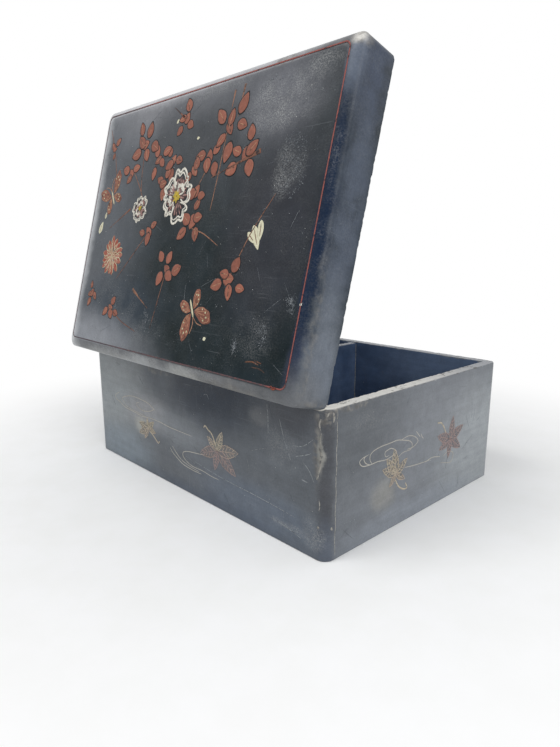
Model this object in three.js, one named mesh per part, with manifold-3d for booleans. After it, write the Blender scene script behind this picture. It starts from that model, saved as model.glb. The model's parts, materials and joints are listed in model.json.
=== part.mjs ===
// Hinged lacquer box: a wooden body with a centre divider, and a lid on two brass butt hinges.
// Millimetres, +Z up. X runs along the box and the hinges lie on its -Y side. The origin is the
// middle of the underside. The lid is modelled closed and then turned open about the hinge pins.
import * as THREE from 'three';
import { mergeVertices } from 'three/addons/utils/BufferGeometryUtils.js';
import Module from 'manifold-3d';

const wasm = await Module();
wasm.setup();

// Overall sizes
const boxLength = 273;
const boxWidth = 196;
const bodyHeight = 93;
const lidHeight = 28;
const lidSetback = 2;
const rimGap = 0.4;

// Body boards
const wall = 8;
const floorThickness = 5;
const dividerThickness = 7;
const dividerHousing = 2;
const dividerDrop = 1;
const bodyCornerRadius = 7;
const bodyArris = 0.8;

// Lid boards and the soft shoulder round the top. The lid is set back at each end.
const lidWall = 8;
const lidTopThickness = 7;
const lidCornerRadius = 5;
const lidRimArris = 0.6;
const shoulderInset = 9;
const shoulderDrop = 5;
const shoulderSteps = 7;
const cornerSpread = 0.3;
const cornerSteps = 6;

// Corner joints: a bare-faced tongue on each end wall, glued and pegged
const tongueThickness = 5;
const tongueDepth = 3;
const glueGap = 0.3;
const pegRadius = 1.1;
const pegHold = 12;
const pegSink = 0.5;
const pegsPerBodyCorner = 2;
const pegsPerLidCorner = 1;
const pegsPerLongSide = 3;
const pegFromEnd = 30;
const roundSteps = 14;

// Butt hinges and their screws
const hingeFromEnd = 55;
const leafLength = 30;
const leafThickness = 1.2;
const leafLip = 0.9;
const barrelRadius = 1.8;
const pinRadius = 0.8;
const pinInset = 1.5;
const runningGap = 0.25;
const knuckleGap = 0.3;
const mortiseGap = 0.3;
const screwHeadRadius = 1.3;
const screwShankRadius = 0.6;
const screwHeadDepth = 0.6;
const screwLength = 6;
const screwPoint = 1.2;
const screwFromEnd = 5;

// Motion, in degrees from closed
const openAngle = 75;
const openLimit = 100;
const stopGap = 0.15;

// Places that follow from the sizes
const endX = boxLength / 2;
const sideY = boxWidth / 2;
const lidEndX = endX - lidSetback;
const lidRimZ = bodyHeight + rimGap;
const lidTopZ = lidRimZ + lidHeight;
const lidBoardZ = lidTopZ - lidTopThickness;
const axisY = -sideY + pinInset;
const axisZ = bodyHeight + rimGap / 2;
const leafReach = wall - pinInset - leafLip;
const reliefRadius = barrelRadius + runningGap;
const beyond = 10;

// Materials
const lacquer = { color: 0x2c333c, roughness: 0.32, metalness: 0 };
const bamboo = { color: 0xc2a06a, roughness: 0.7, metalness: 0 };
const brass = { color: 0xa8843f, roughness: 0.4, metalness: 0.9 };

// Solids
function solid(geometry) {
  const bare = geometry.clone();
  bare.deleteAttribute('normal');
  bare.deleteAttribute('uv');
  const merged = mergeVertices(bare);
  return new wasm.Manifold(new wasm.Mesh({
    numProp: 3,
    vertProperties: new Float32Array(merged.getAttribute('position').array),
    triVerts: new Uint32Array(merged.index.array),
  }));
}

function block(x0, x1, y0, y1, z0, z1) {
  const box = new THREE.BoxGeometry(x1 - x0, y1 - y0, z1 - z0);
  box.translate((x0 + x1) / 2, (y0 + y1) / 2, (z0 + z1) / 2);
  return solid(box);
}

// A round rod between two points.
function rod(radius, from, to) {
  const way = to.clone().sub(from);
  const cylinder = new THREE.CylinderGeometry(radius, radius, way.length(), roundSteps);
  cylinder.applyQuaternion(
    new THREE.Quaternion().setFromUnitVectors(new THREE.Vector3(0, 1, 0), way.normalize()));
  cylinder.translate(...from.clone().add(to).multiplyScalar(0.5).toArray());
  return solid(cylinder);
}

// One level of a rounded block: a rectangle with round corners, drawn in by an inset.
function roundedRing(level, reachX) {
  const ring = [];
  const cornerX = reachX - level.inset - level.radius;
  const cornerY = sideY - level.inset - level.radius;
  const quarters = [[1, 1], [-1, 1], [-1, -1], [1, -1]];
  quarters.forEach(([signX, signY], quarter) => {
    for (let step = 0; step <= cornerSteps; step++) {
      const angle = (quarter + step / cornerSteps) * Math.PI / 2;
      ring.push([
        signX * cornerX + level.radius * Math.cos(angle),
        signY * cornerY + level.radius * Math.sin(angle),
        level.z,
      ]);
    }
  });
  return ring;
}

// The outer form of the body or the lid, from its levels, lowest first.
function roundedBlock(levels, reachX) {
  const rings = levels.map((level) => roundedRing(level, reachX));
  const count = rings[0].length;
  const corners = rings.flat();
  const faces = [];
  for (let level = 0; level + 1 < rings.length; level++) {
    for (let i = 0; i < count; i++) {
      const here = level * count + i;
      const next = level * count + (i + 1) % count;
      faces.push(here, next, next + count, here, next + count, here + count);
    }
  }
  const top = (rings.length - 1) * count;
  for (let i = 1; i + 1 < count; i++) {
    faces.push(0, i + 1, i, top, top + i, top + i + 1);
  }
  const form = new THREE.BufferGeometry();
  form.setAttribute('position', new THREE.Float32BufferAttribute(corners.flat(), 3));
  form.setIndex(faces);
  return solid(form);
}

function bodyForm() {
  const level = (z, inset) => ({ z, inset, radius: bodyCornerRadius - inset });
  return roundedBlock([
    level(0, bodyArris),
    level(bodyArris, 0),
    level(bodyHeight - bodyArris, 0),
    level(bodyHeight, bodyArris),
  ], endX);
}

function lidForm() {
  const level = (z, inset) => ({ z, inset, radius: lidCornerRadius + cornerSpread * inset });
  const levels = [level(lidRimZ, lidRimArris), level(lidRimZ + lidRimArris, 0)];
  for (let step = 0; step <= shoulderSteps; step++) {
    const turn = step / shoulderSteps * Math.PI / 2;
    levels.push(level(
      lidTopZ - shoulderDrop * (1 - Math.sin(turn)),
      shoulderInset * (1 - Math.cos(turn))));
  }
  return roundedBlock(levels, lidEndX);
}

// How far the lid's surface lies under its top plane at an inset from the side.
function shoulderDepth(inset) {
  const reach = Math.max(0, 1 - inset / shoulderInset);
  return shoulderDrop * (1 - Math.sqrt(1 - reach * reach));
}

// Boards
// One frame of four walls, the body's or the lid's, with its tongued corners.
function frameOf({ reachX, z0, z1, thickness, pegsPerCorner }) {
  const innerX = reachX - thickness;
  const innerY = sideY - thickness;
  const peg = (signX, signY, index, radius) => {
    const x = signX * (innerX + tongueThickness / 2);
    const z = z0 + (z1 - z0) * (index + 0.5) / pegsPerCorner;
    const outer = signY * (sideY - pegSink);
    const inner = signY * (sideY - thickness - pegHold);
    return rod(radius, new THREE.Vector3(x, outer, z), new THREE.Vector3(x, inner, z));
  };
  const pegHole = (signX, signY, index) => {
    const hole = peg(signX, signY, index, pegRadius + glueGap);
    return hole.add(hole.translate([0, signY * pegSink * 2, 0])).add(
      hole.translate([0, -signY * glueGap, 0]));
  };
  const holes = [];
  for (const signX of [-1, 1]) {
    for (const signY of [-1, 1]) {
      for (let index = 0; index < pegsPerCorner; index++) {
        holes.push(pegHole(signX, signY, index));
      }
    }
  }
  const tongue = (signX, grow) => {
    const near = innerX - grow;
    const far = innerX + tongueThickness + grow;
    const reach = innerY + tongueDepth - glueGap + grow;
    return block(
      Math.min(signX * near, signX * far), Math.max(signX * near, signX * far),
      -reach, reach, z0 - grow, z1 + grow);
  };
  const cutAll = (board, cutters) => cutters.reduce((left, cutter) => left.subtract(cutter), board);
  const longWall = (signY) => {
    const board = block(
      -reachX, reachX,
      Math.min(signY * sideY, signY * innerY), Math.max(signY * sideY, signY * innerY), z0, z1);
    return cutAll(board, [tongue(-1, glueGap), tongue(1, glueGap), ...holes]);
  };
  const endWall = (signX) => {
    const reach = innerY - glueGap;
    const board = block(
      Math.min(signX * innerX, signX * reachX), Math.max(signX * innerX, signX * reachX),
      -reach, reach, z0, z1);
    return cutAll(board.add(tongue(signX, 0)), holes);
  };
  return { longWall, endWall, peg };
}

// Pegs up through the floor or down through the lid's top, along both long walls.
function rowPegs(reachX, thickness, outerZ, innerZ) {
  const pegs = [];
  for (const signY of [-1, 1]) {
    for (let index = 0; index < pegsPerLongSide; index++) {
      const along = index / (pegsPerLongSide - 1) * 2 - 1;
      const x = along * (reachX - pegFromEnd);
      const y = signY * (sideY - thickness / 2);
      const at = (radius, from, to) => rod(
        radius, new THREE.Vector3(x, y, from), new THREE.Vector3(x, y, to));
      const outward = Math.sign(outerZ - innerZ);
      pegs.push({
        peg: at(pegRadius, outerZ - outward * pegSink, innerZ),
        hole: at(pegRadius + glueGap, outerZ + outward * beyond, innerZ - outward * glueGap),
      });
    }
  }
  return pegs;
}

// Hinges
const knuckleLength = (leafLength - 2 * knuckleGap) / 3;

function axisRod(radius, x0, x1) {
  return rod(radius, new THREE.Vector3(x0, axisY, axisZ), new THREE.Vector3(x1, axisY, axisZ));
}

// A countersunk screw, or the hole it needs, standing on its point with its head at z = 0.
function screwForm(grow, rise) {
  const profile = [
    [0, -screwLength - grow],
    [screwShankRadius + grow, -screwLength + screwPoint],
    [screwShankRadius + grow, -screwHeadDepth],
    [screwHeadRadius + grow, 0],
  ];
  if (rise > 0) profile.push([screwHeadRadius + grow, rise]);
  profile.push([0, rise]);
  const turned = new THREE.LatheGeometry(
    profile.map(([r, z]) => new THREE.Vector2(r, z)), roundSteps);
  turned.rotateX(Math.PI / 2);
  return solid(turned);
}

// The parts of one hinge about its own middle. side is -1 for the body leaf, which carries the two
// outer knuckles, and 1 for the lid leaf, which carries the middle one.
function leafParts(middleX, side) {
  const face = axisZ + side * rimGap / 2;
  const back = face + side * leafThickness;
  const half = leafLength / 2;
  const screwY = axisY + (reliefRadius + leafReach) / 2;
  const screwXs = [-1, 1].map((end) => middleX + end * (half - screwFromEnd));
  const atScrew = (form, x) => {
    const turned = side < 0 ? form : form.rotate([180, 0, 0]);
    return turned.translate([x, screwY, face]);
  };
  const middleSpan = [[-knuckleLength / 2, knuckleLength / 2]];
  const outerSpans = [
    [-half, -knuckleLength / 2 - knuckleGap],
    [knuckleLength / 2 + knuckleGap, half],
  ];
  const own = side < 0 ? outerSpans : middleSpan;
  const other = side < 0 ? middleSpan : outerSpans;
  let leaf = block(
    middleX - half, middleX + half, axisY, axisY + leafReach,
    Math.min(face, back), Math.max(face, back));
  for (const [from, to] of own) {
    leaf = leaf.add(axisRod(barrelRadius, middleX + from, middleX + to));
  }
  for (const [from, to] of other) {
    leaf = leaf.subtract(
      axisRod(reliefRadius, middleX + from - knuckleGap, middleX + to + knuckleGap));
  }
  leaf = leaf.subtract(axisRod(pinRadius + runningGap, middleX - leafLength, middleX + leafLength));
  for (const x of screwXs) leaf = leaf.subtract(atScrew(screwForm(runningGap, beyond), x));
  const mortise = block(
    middleX - half - mortiseGap, middleX + half + mortiseGap,
    axisY, axisY + leafReach + mortiseGap,
    Math.min(face - side * beyond, back + side * mortiseGap),
    Math.max(face - side * beyond, back + side * mortiseGap));
  const notch = axisRod(
    reliefRadius, middleX - half - mortiseGap, middleX + half + mortiseGap);
  const cutters = [mortise, notch, ...screwXs.map((x) => atScrew(screwForm(runningGap, 0), x))];
  return { leaf, cutters, screws: screwXs.map((x) => atScrew(screwForm(0, 0), x)) };
}

// The back arris of each rim is chamfered, and the two chamfers meet when the lid is fully open.
function stopWedge(side) {
  const wedge = new THREE.BoxGeometry(boxLength + beyond, 4 * beyond, 2 * beyond);
  wedge.translate(0, 0, beyond - stopGap);
  wedge.rotateX(THREE.MathUtils.degToRad(openLimit / 2));
  if (side > 0) wedge.rotateX(THREE.MathUtils.degToRad(180 - openLimit));
  wedge.translate(0, axisY, axisZ);
  return solid(wedge);
}

// Assembly
const box = new THREE.Group();
const lid = new THREE.Group();
const lidClosed = new THREE.Group();
lid.position.set(0, axisY, axisZ);
lid.rotation.x = THREE.MathUtils.degToRad(openAngle);
lidClosed.position.set(0, -axisY, -axisZ);
lid.add(lidClosed);
box.add(lid);

function place(group, name, shape, finish) {
  const { vertProperties, triVerts } = shape.getMesh();
  const form = new THREE.BufferGeometry();
  form.setAttribute('position', new THREE.BufferAttribute(new Float32Array(vertProperties), 3));
  form.setIndex(new THREE.BufferAttribute(new Uint32Array(triVerts), 1));
  form.computeVertexNormals();
  const mesh = new THREE.Mesh(form, new THREE.MeshStandardMaterial(finish));
  mesh.name = name;
  group.add(mesh);
}

const ends = [['left', -1], ['right', 1]];
const hinges = ends.map(([name, sign]) => {
  const middleX = sign * (endX - hingeFromEnd);
  return { name, middleX, body: leafParts(middleX, -1), lid: leafParts(middleX, 1) };
});

function placeHinges() {
  for (const { name, middleX, body, lid: upper } of hinges) {
    place(box, `${name}_hinge_body_leaf`, body.leaf, brass);
    place(lidClosed, `${name}_hinge_lid_leaf`, upper.leaf, brass);
    const pin = axisRod(pinRadius, middleX - leafLength / 2, middleX + leafLength / 2);
    place(box, `${name}_hinge_pin`, pin, brass);
    body.screws.forEach((screw, i) => place(box, `${name}_hinge_body_screw_${i + 1}`, screw, brass));
    upper.screws.forEach((screw, i) => {
      place(lidClosed, `${name}_hinge_lid_screw_${i + 1}`, screw, brass);
    });
  }
}

function placeCornerPegs(group, prefix, frame, pegsPerCorner) {
  for (const [endName, signX] of ends) {
    for (const [sideName, signY] of [['hinge', -1], ['opening', 1]]) {
      for (let index = 0; index < pegsPerCorner; index++) {
        const number = pegsPerCorner > 1 ? `_${index + 1}` : '';
        const name = `${prefix}${endName}_${sideName}_corner_peg${number}`;
        place(group, name, frame.peg(signX, signY, index, pegRadius), bamboo);
      }
    }
  }
}

function placeBody() {
  const form = bodyForm();
  const wallFoot = floorThickness + glueGap;
  const frame = frameOf({
    reachX: endX, z0: wallFoot, z1: bodyHeight, thickness: wall, pegsPerCorner: pegsPerBodyCorner,
  });
  const pegs = rowPegs(endX, wall, 0, floorThickness + pegHold);
  const cut = (board) => pegs.reduce((left, { hole }) => left.subtract(hole), board.intersect(form));
  const innerY = sideY - wall;
  const divider = (grow) => block(
    -dividerThickness / 2 - grow, dividerThickness / 2 + grow,
    -innerY - dividerHousing + glueGap - grow, innerY + dividerHousing - glueGap + grow,
    wallFoot - grow, bodyHeight - dividerDrop + 2 * grow);
  const housing = divider(glueGap).add(divider(glueGap).translate([0, 0, dividerDrop]));
  let hingeWall = cut(frame.longWall(-1)).subtract(housing).subtract(stopWedge(-1));
  for (const { body } of hinges) {
    hingeWall = body.cutters.reduce((left, cutter) => left.subtract(cutter), hingeWall);
  }
  place(box, 'floor_board', cut(block(-endX, endX, -sideY, sideY, 0, floorThickness)), lacquer);
  place(box, 'hinge_side_wall', hingeWall, lacquer);
  place(box, 'opening_side_wall', cut(frame.longWall(1)).subtract(housing), lacquer);
  for (const [name, sign] of ends) place(box, `${name}_end_wall`, cut(frame.endWall(sign)), lacquer);
  place(box, 'centre_divider', divider(0), lacquer);
  placeCornerPegs(box, '', frame, pegsPerBodyCorner);
  pegs.forEach(({ peg }, i) => place(box, `floor_peg_${i + 1}`, peg, bamboo));
}

function placeLid() {
  const form = lidForm();
  const frame = frameOf({
    reachX: lidEndX, z0: lidRimZ, z1: lidBoardZ - glueGap, thickness: lidWall,
    pegsPerCorner: pegsPerLidCorner,
  });
  const surface = lidTopZ - shoulderDepth(lidWall / 2);
  const pegs = rowPegs(lidEndX, lidWall, surface, lidBoardZ - pegHold);
  const cut = (board) => pegs.reduce((left, { hole }) => left.subtract(hole), board.intersect(form));
  let hingeWall = cut(frame.longWall(-1)).subtract(stopWedge(1));
  for (const { lid: upper } of hinges) {
    hingeWall = upper.cutters.reduce((left, cutter) => left.subtract(cutter), hingeWall);
  }
  const top = block(-lidEndX, lidEndX, -sideY, sideY, lidBoardZ, lidTopZ);
  place(lidClosed, 'lid_top_board', cut(top), lacquer);
  place(lidClosed, 'lid_hinge_side_wall', hingeWall, lacquer);
  place(lidClosed, 'lid_opening_side_wall', cut(frame.longWall(1)), lacquer);
  for (const [name, sign] of ends) {
    place(lidClosed, `lid_${name}_end_wall`, cut(frame.endWall(sign)), lacquer);
  }
  placeCornerPegs(lidClosed, 'lid_', frame, pegsPerLidCorner);
  pegs.forEach(({ peg }, i) => place(lidClosed, `lid_top_peg_${i + 1}`, peg, bamboo));
}

placeBody();
placeLid();
placeHinges();

export default box;
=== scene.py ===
# %% [markdown]
# # An old lacquer box with its lid raised
#
# The object is a wooden box coated in black urushi lacquer, about 27 cm long. Its lid has soft
# shoulders, a thin red border line and a painted scatter of leaves, blossom and butterflies. The
# body carries maple leaves on swirling water in gold. The wood itself is never seen: what the eye
# reads is the lacquer, so this lesson spends its effort on thin coatings, worn arrises and fine
# brushwork.
#
# The first cell loads the measured frame. Every later size is worked out from it.

# %% Load the frame
import json
from types import SimpleNamespace

import bmesh
import bpy
import numpy as np
from mathutils import Matrix, Vector


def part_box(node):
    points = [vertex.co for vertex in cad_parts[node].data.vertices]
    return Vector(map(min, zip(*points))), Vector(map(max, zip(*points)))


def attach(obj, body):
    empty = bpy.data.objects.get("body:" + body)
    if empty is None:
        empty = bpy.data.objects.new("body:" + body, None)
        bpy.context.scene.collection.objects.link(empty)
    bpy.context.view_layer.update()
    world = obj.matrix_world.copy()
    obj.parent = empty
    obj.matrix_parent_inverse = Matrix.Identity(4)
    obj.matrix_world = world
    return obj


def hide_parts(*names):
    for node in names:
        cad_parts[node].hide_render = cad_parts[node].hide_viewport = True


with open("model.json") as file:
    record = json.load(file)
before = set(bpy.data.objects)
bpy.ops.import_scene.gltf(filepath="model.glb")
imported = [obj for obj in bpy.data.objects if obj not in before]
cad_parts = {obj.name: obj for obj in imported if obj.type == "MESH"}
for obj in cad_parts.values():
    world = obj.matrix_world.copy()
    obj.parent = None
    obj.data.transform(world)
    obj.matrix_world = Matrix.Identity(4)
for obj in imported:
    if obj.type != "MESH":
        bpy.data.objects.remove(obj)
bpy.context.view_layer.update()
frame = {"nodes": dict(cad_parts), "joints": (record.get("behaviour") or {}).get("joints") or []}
MM = 0.001
print("nodes in the frame:", len(frame["nodes"]))

# %% [markdown]
# ## Think of the lid closed, then open it
#
# The lid stands open, so its faces are slanted. It is easier to shape it closed, where every wall
# is upright, and to turn the finished points about the hinge pin. The same closed coordinates are
# kept on every mesh as an attribute, and the materials read that, so a pattern lies on the lid
# just as it lies on the body.

# %% Turn points about the hinge pin
hinge = frame["joints"][0]
AXIS = np.array(hinge["pos_m"], float)
OPEN = np.radians(-hinge["range_deg"][0])
LIMIT = np.radians(hinge["range_deg"][1] - hinge["range_deg"][0])


def turned(points, angle):
    """The points turned about the pin: y and z rotate in their plane, x stays."""
    y, z = (points[..., 1] - AXIS[1]), (points[..., 2] - AXIS[2])
    cos, sin = np.cos(angle), np.sin(angle)
    return np.stack([points[..., 0], AXIS[1] + y * cos - z * sin,
                     AXIS[2] + y * sin + z * cos], axis=-1)


def closed_box(node):
    """The lowest and highest corner that a node of the lid has when the lid is shut."""
    mesh = frame["nodes"][node].data
    flat = np.empty(len(mesh.vertices) * 3, np.float32)
    mesh.vertices.foreach_get("co", flat)
    points = turned(flat.reshape(-1, 3).astype(float), -OPEN)
    return points.min(0), points.max(0)


# %% Sizes, from the frame
wall_low, wall_high = (np.array(corner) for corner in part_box("hinge_side_wall"))
RIM_Z = wall_high[2]
WALL = wall_high[1] - wall_low[1]
FLOOR_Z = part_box("floor_board")[1].z
divider_low, divider_high = (np.array(corner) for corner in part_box("centre_divider"))
board_low, board_high = closed_box("lid_top_board")
BOARD_Z, TOP_Z = board_low[2], board_high[2]
LID_RIM_Z = 2 * AXIS[2] - RIM_Z
BODY = SimpleNamespace(end=wall_high[0], side=-wall_low[1], corner=7 * MM, arris=0.9 * MM,
                       rim=RIM_Z, foot=0.0)
LID = SimpleNamespace(end=board_high[0], side=-wall_low[1], corner=5 * MM, arris=0.7 * MM,
                      rim=LID_RIM_Z, foot=None)
SHOULDER_INSET = 9 * MM
SHOULDER_DROP = 5 * MM
CORNER_SPREAD = 0.3
STOP_GAP = 0.15 * MM
LEAF_REVEAL = 0.06 * MM
TINY = 1e-9
print(f"body {2000 * BODY.end:.0f} x {2000 * BODY.side:.0f} mm, lid {2000 * LID.end:.0f} mm long, "
      f"rim at {1000 * RIM_Z:.0f} mm, open {np.degrees(OPEN):.0f} degrees")

# %% [markdown]
# ## Sheets of points
#
# Every surface here is a grid of points, rows by columns, worked out as whole arrays. One helper
# joins neighbouring points with four-sided faces, and one turns the grid into a Blender mesh. The
# mesh carries attributes for the materials: where the point is with the lid closed, how far it is
# from the nearest arris in millimetres, how much of it is rim, and a tone.


# %% From a grid to a piece
SHARP = np.radians(32)
DOUBLED = 2e-6
SLIVER = 1e-7
FAR_FROM_ARRIS = 9.0
SKIN = 0.5 * MM


def grid_faces(rows, columns, round_rows=False, round_columns=False, start=0):
    """Four-sided faces between neighbouring grid points, wrapping round where asked."""
    index = np.arange(rows * columns).reshape(rows, columns) + start
    if round_rows:
        index = np.vstack([index, index[:1]])
    if round_columns:
        index = np.hstack([index, index[:, :1]])
    return np.stack([index[:-1, :-1], index[:-1, 1:], index[1:, 1:], index[1:, :-1]],
                    axis=-1).reshape(-1, 4)


def section_faces(rows, columns):
    """The faces of a section carried along a line, with a cap at each end."""
    start = np.arange(rows) * columns
    caps = [start.tolist(), (start + columns - 1).tolist()[::-1]]
    return grid_faces(rows, columns, round_rows=True).tolist() + caps


def edge_distance(points, form):
    """How far each point is from the nearest arris, in millimetres.

    A point on a face has a distance of about nothing to that face's plane, so the second smallest
    of its distances to the planes says how near the next face is. The lid's soft shoulder is no
    arris, so its top is left out.
    """
    end = form.end - np.abs(points[:, 0])
    side = form.side - np.abs(points[:, 1])
    skin = np.minimum(end, side) < SKIN
    inner = np.where(skin, 1, np.minimum(np.abs(end - WALL), np.abs(side - WALL)))
    planes = [end, side, np.abs(form.rim - points[:, 2]), inner]
    if form.foot is not None:
        planes.append(np.abs(points[:, 2] - form.foot))
    return np.maximum(np.sort(np.stack(planes), axis=0)[1], 0) / MM


def write_attribute(mesh, name, kind, values):
    """Stores a value, or a place, for every point of a mesh."""
    layer = mesh.attributes.new(name, kind, "POINT")
    key = "vector" if kind == "FLOAT_VECTOR" else "value"
    layer.data.foreach_set(key, np.asarray(values, np.float32).ravel())


def add_piece(name, points, faces, material, body, edge=FAR_FROM_ARRIS, rim=0.0, tone=0.0):
    """A piece from closed points, placed as the lid stands and riding on its body."""
    placed_points = turned(points, OPEN) if body == "lid" else points
    mesh = bpy.data.meshes.new(name)
    mesh.from_pydata(placed_points.tolist(), [], [list(face) for face in faces])
    write_attribute(mesh, "closed", "FLOAT_VECTOR", points)
    for key, values in (("edge", edge), ("rim", rim), ("tone", tone)):
        write_attribute(mesh, key, "FLOAT", values + np.zeros(len(points)))
    mesh.materials.append(material)
    piece = bpy.data.objects.new(name, mesh)
    bpy.context.scene.collection.objects.link(piece)
    mesh.shade_smooth()
    mesh.set_sharp_from_angle(angle=SHARP)
    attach(piece, body)
    return piece


def close_shell(piece):
    """Merges the doubled points of a shell's seams and poles and points its faces outwards."""
    shell = bmesh.new()
    shell.from_mesh(piece.data)
    bmesh.ops.remove_doubles(shell, verts=shell.verts, dist=DOUBLED)
    bmesh.ops.dissolve_degenerate(shell, edges=shell.edges, dist=SLIVER)
    bmesh.ops.recalc_face_normals(shell, faces=shell.faces)
    shell.to_mesh(piece.data)
    shell.free()
    piece.data.set_sharp_from_angle(angle=SHARP)


# %% [markdown]
# ## Black lacquer, and what a hundred years do to it
#
# Urushi is a tree sap that cures to a hard, glassy skin of refractive index about 1.5. New, it is
# a black mirror. Age gives it a grey film from handling and light, hairline scratches, dust that
# never wipes off and, along every arris, places where the black has rubbed through to the clay
# undercoat. The material below stacks these in that order. The film isn't even: a list of stains
# says where it is thick, thin, blue or brown, each with its place and reach in millimetres. The
# same lists also paint in light and shade: a painted shadow under the lid, and painted reflections
# on the body's right end and along the lid's shoulders.


# %% One helper for nodes, one for colours
def linear(code):
    """An sRGB hex colour as linear light, with full alpha."""
    srgb = np.array([int(code[i:i + 2], 16) for i in (0, 2, 4)]) / 255
    light = np.where(srgb <= 0.04045, srgb / 12.92, ((srgb + 0.055) / 1.055) ** 2.4)
    return (*light, 1.0)


def plug_in(tree, node, links):
    """Gives a node's own sockets their values, or links them to the sockets of other nodes."""
    for key, value in links.items():
        socket = node.inputs[key]
        if isinstance(value, bpy.types.NodeSocket):
            tree.links.new(value, socket)
        else:
            socket.default_value = value


def add(tree, kind, links=None, **settings):
    """Adds a node: settings are its own options, and links are values or sockets to plug in."""
    node = tree.nodes.new("ShaderNode" + kind)
    for key, value in settings.items():
        setattr(node, key, value)
    plug_in(tree, node, links or {})
    return node


def new_material(name):
    """An empty material with its tree and its shader."""
    material = bpy.data.materials.new(name)
    material.use_nodes = True
    return material, material.node_tree, material.node_tree.nodes["Principled BSDF"]


def per_metre(millimetres):
    """The noise scale whose features are about that size."""
    return 1000 / millimetres


# %% Patterns that several finishes share
def cloud(tree, where, size, low, high, detail=4, stretch=(1, 1, 1), turn=(0, 0, 0)):
    """A soft 0 to 1 mask from noise with features of a size in millimetres."""
    mapped = add(tree, "Mapping", {"Vector": where, "Scale": stretch, "Rotation": turn})
    noise = add(tree, "TexNoise", {"Vector": mapped.outputs[0], "Scale": per_metre(size),
                                   "Detail": detail, "Roughness": 0.6})
    return add(tree, "MapRange", {"Value": noise.outputs["Fac"], "From Min": low,
                                  "From Max": high}, interpolation_type="SMOOTHSTEP").outputs[0]


def times(tree, a, b):
    """One mask times another, or times a share."""
    return add(tree, "Math", {0: a, 1: b}, operation="MULTIPLY").outputs[0]


def largest(tree, a, b):
    """The stronger of two masks at each place."""
    return add(tree, "Math", {0: a, 1: b}, operation="MAXIMUM").outputs[0]


def blend_colours(tree, factor, under, over):
    """One colour over another, as far as a mask says."""
    return add(tree, "MixRGB", {"Fac": factor, "Color1": under, "Color2": over}).outputs[0]


FULL_SHARE = 0.3


def near(tree, where, centre, reach):
    """A mask of 1 over the inner part of a reach about a centre, fading to 0 at the reach.

    Both are in millimetres, and FULL_SHARE says how large the inner part is.
    """
    moved = add(tree, "VectorMath", {0: where, 1: [c * MM for c in centre]},
                operation="SUBTRACT").outputs[0]
    scaled = add(tree, "VectorMath", {0: moved, 1: [1 / (r * MM) for r in reach]},
                 operation="MULTIPLY").outputs[0]
    length = add(tree, "VectorMath", {0: scaled}, operation="LENGTH").outputs["Value"]
    return add(tree, "MapRange", {"Value": length, "From Min": FULL_SHARE, "From Max": 1.0,
                                  "To Min": 1.0, "To Max": 0.0},
               interpolation_type="SMOOTHSTEP").outputs[0]


def pushed_about(tree, where, size, reach):
    """Places moved by noise of a size, as far as a reach, so that a mask's edge is uneven."""
    noise = add(tree, "TexNoise", {"Vector": where, "Scale": per_metre(size), "Detail": 5,
                                   "Roughness": 0.6}).outputs["Color"]
    push = add(tree, "VectorMath", {0: noise, 1: (0.5, 0.5, 0.5)}, operation="SUBTRACT").outputs[0]
    push = add(tree, "VectorMath", {0: push, "Scale": 4 * reach * MM}, operation="SCALE").outputs[0]
    return add(tree, "VectorMath", {0: where, 1: push}, operation="ADD").outputs[0]


# %% The lacquer
FALL_STARTS, FALL_IS_FULL = TOP_Z - 0.05 * MM, TOP_Z - 0.2 * MM
MOTTLE_SHARES = (0.16, 0.2, 0.16)
MOTTLE_LEVEL = 0.21


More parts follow.
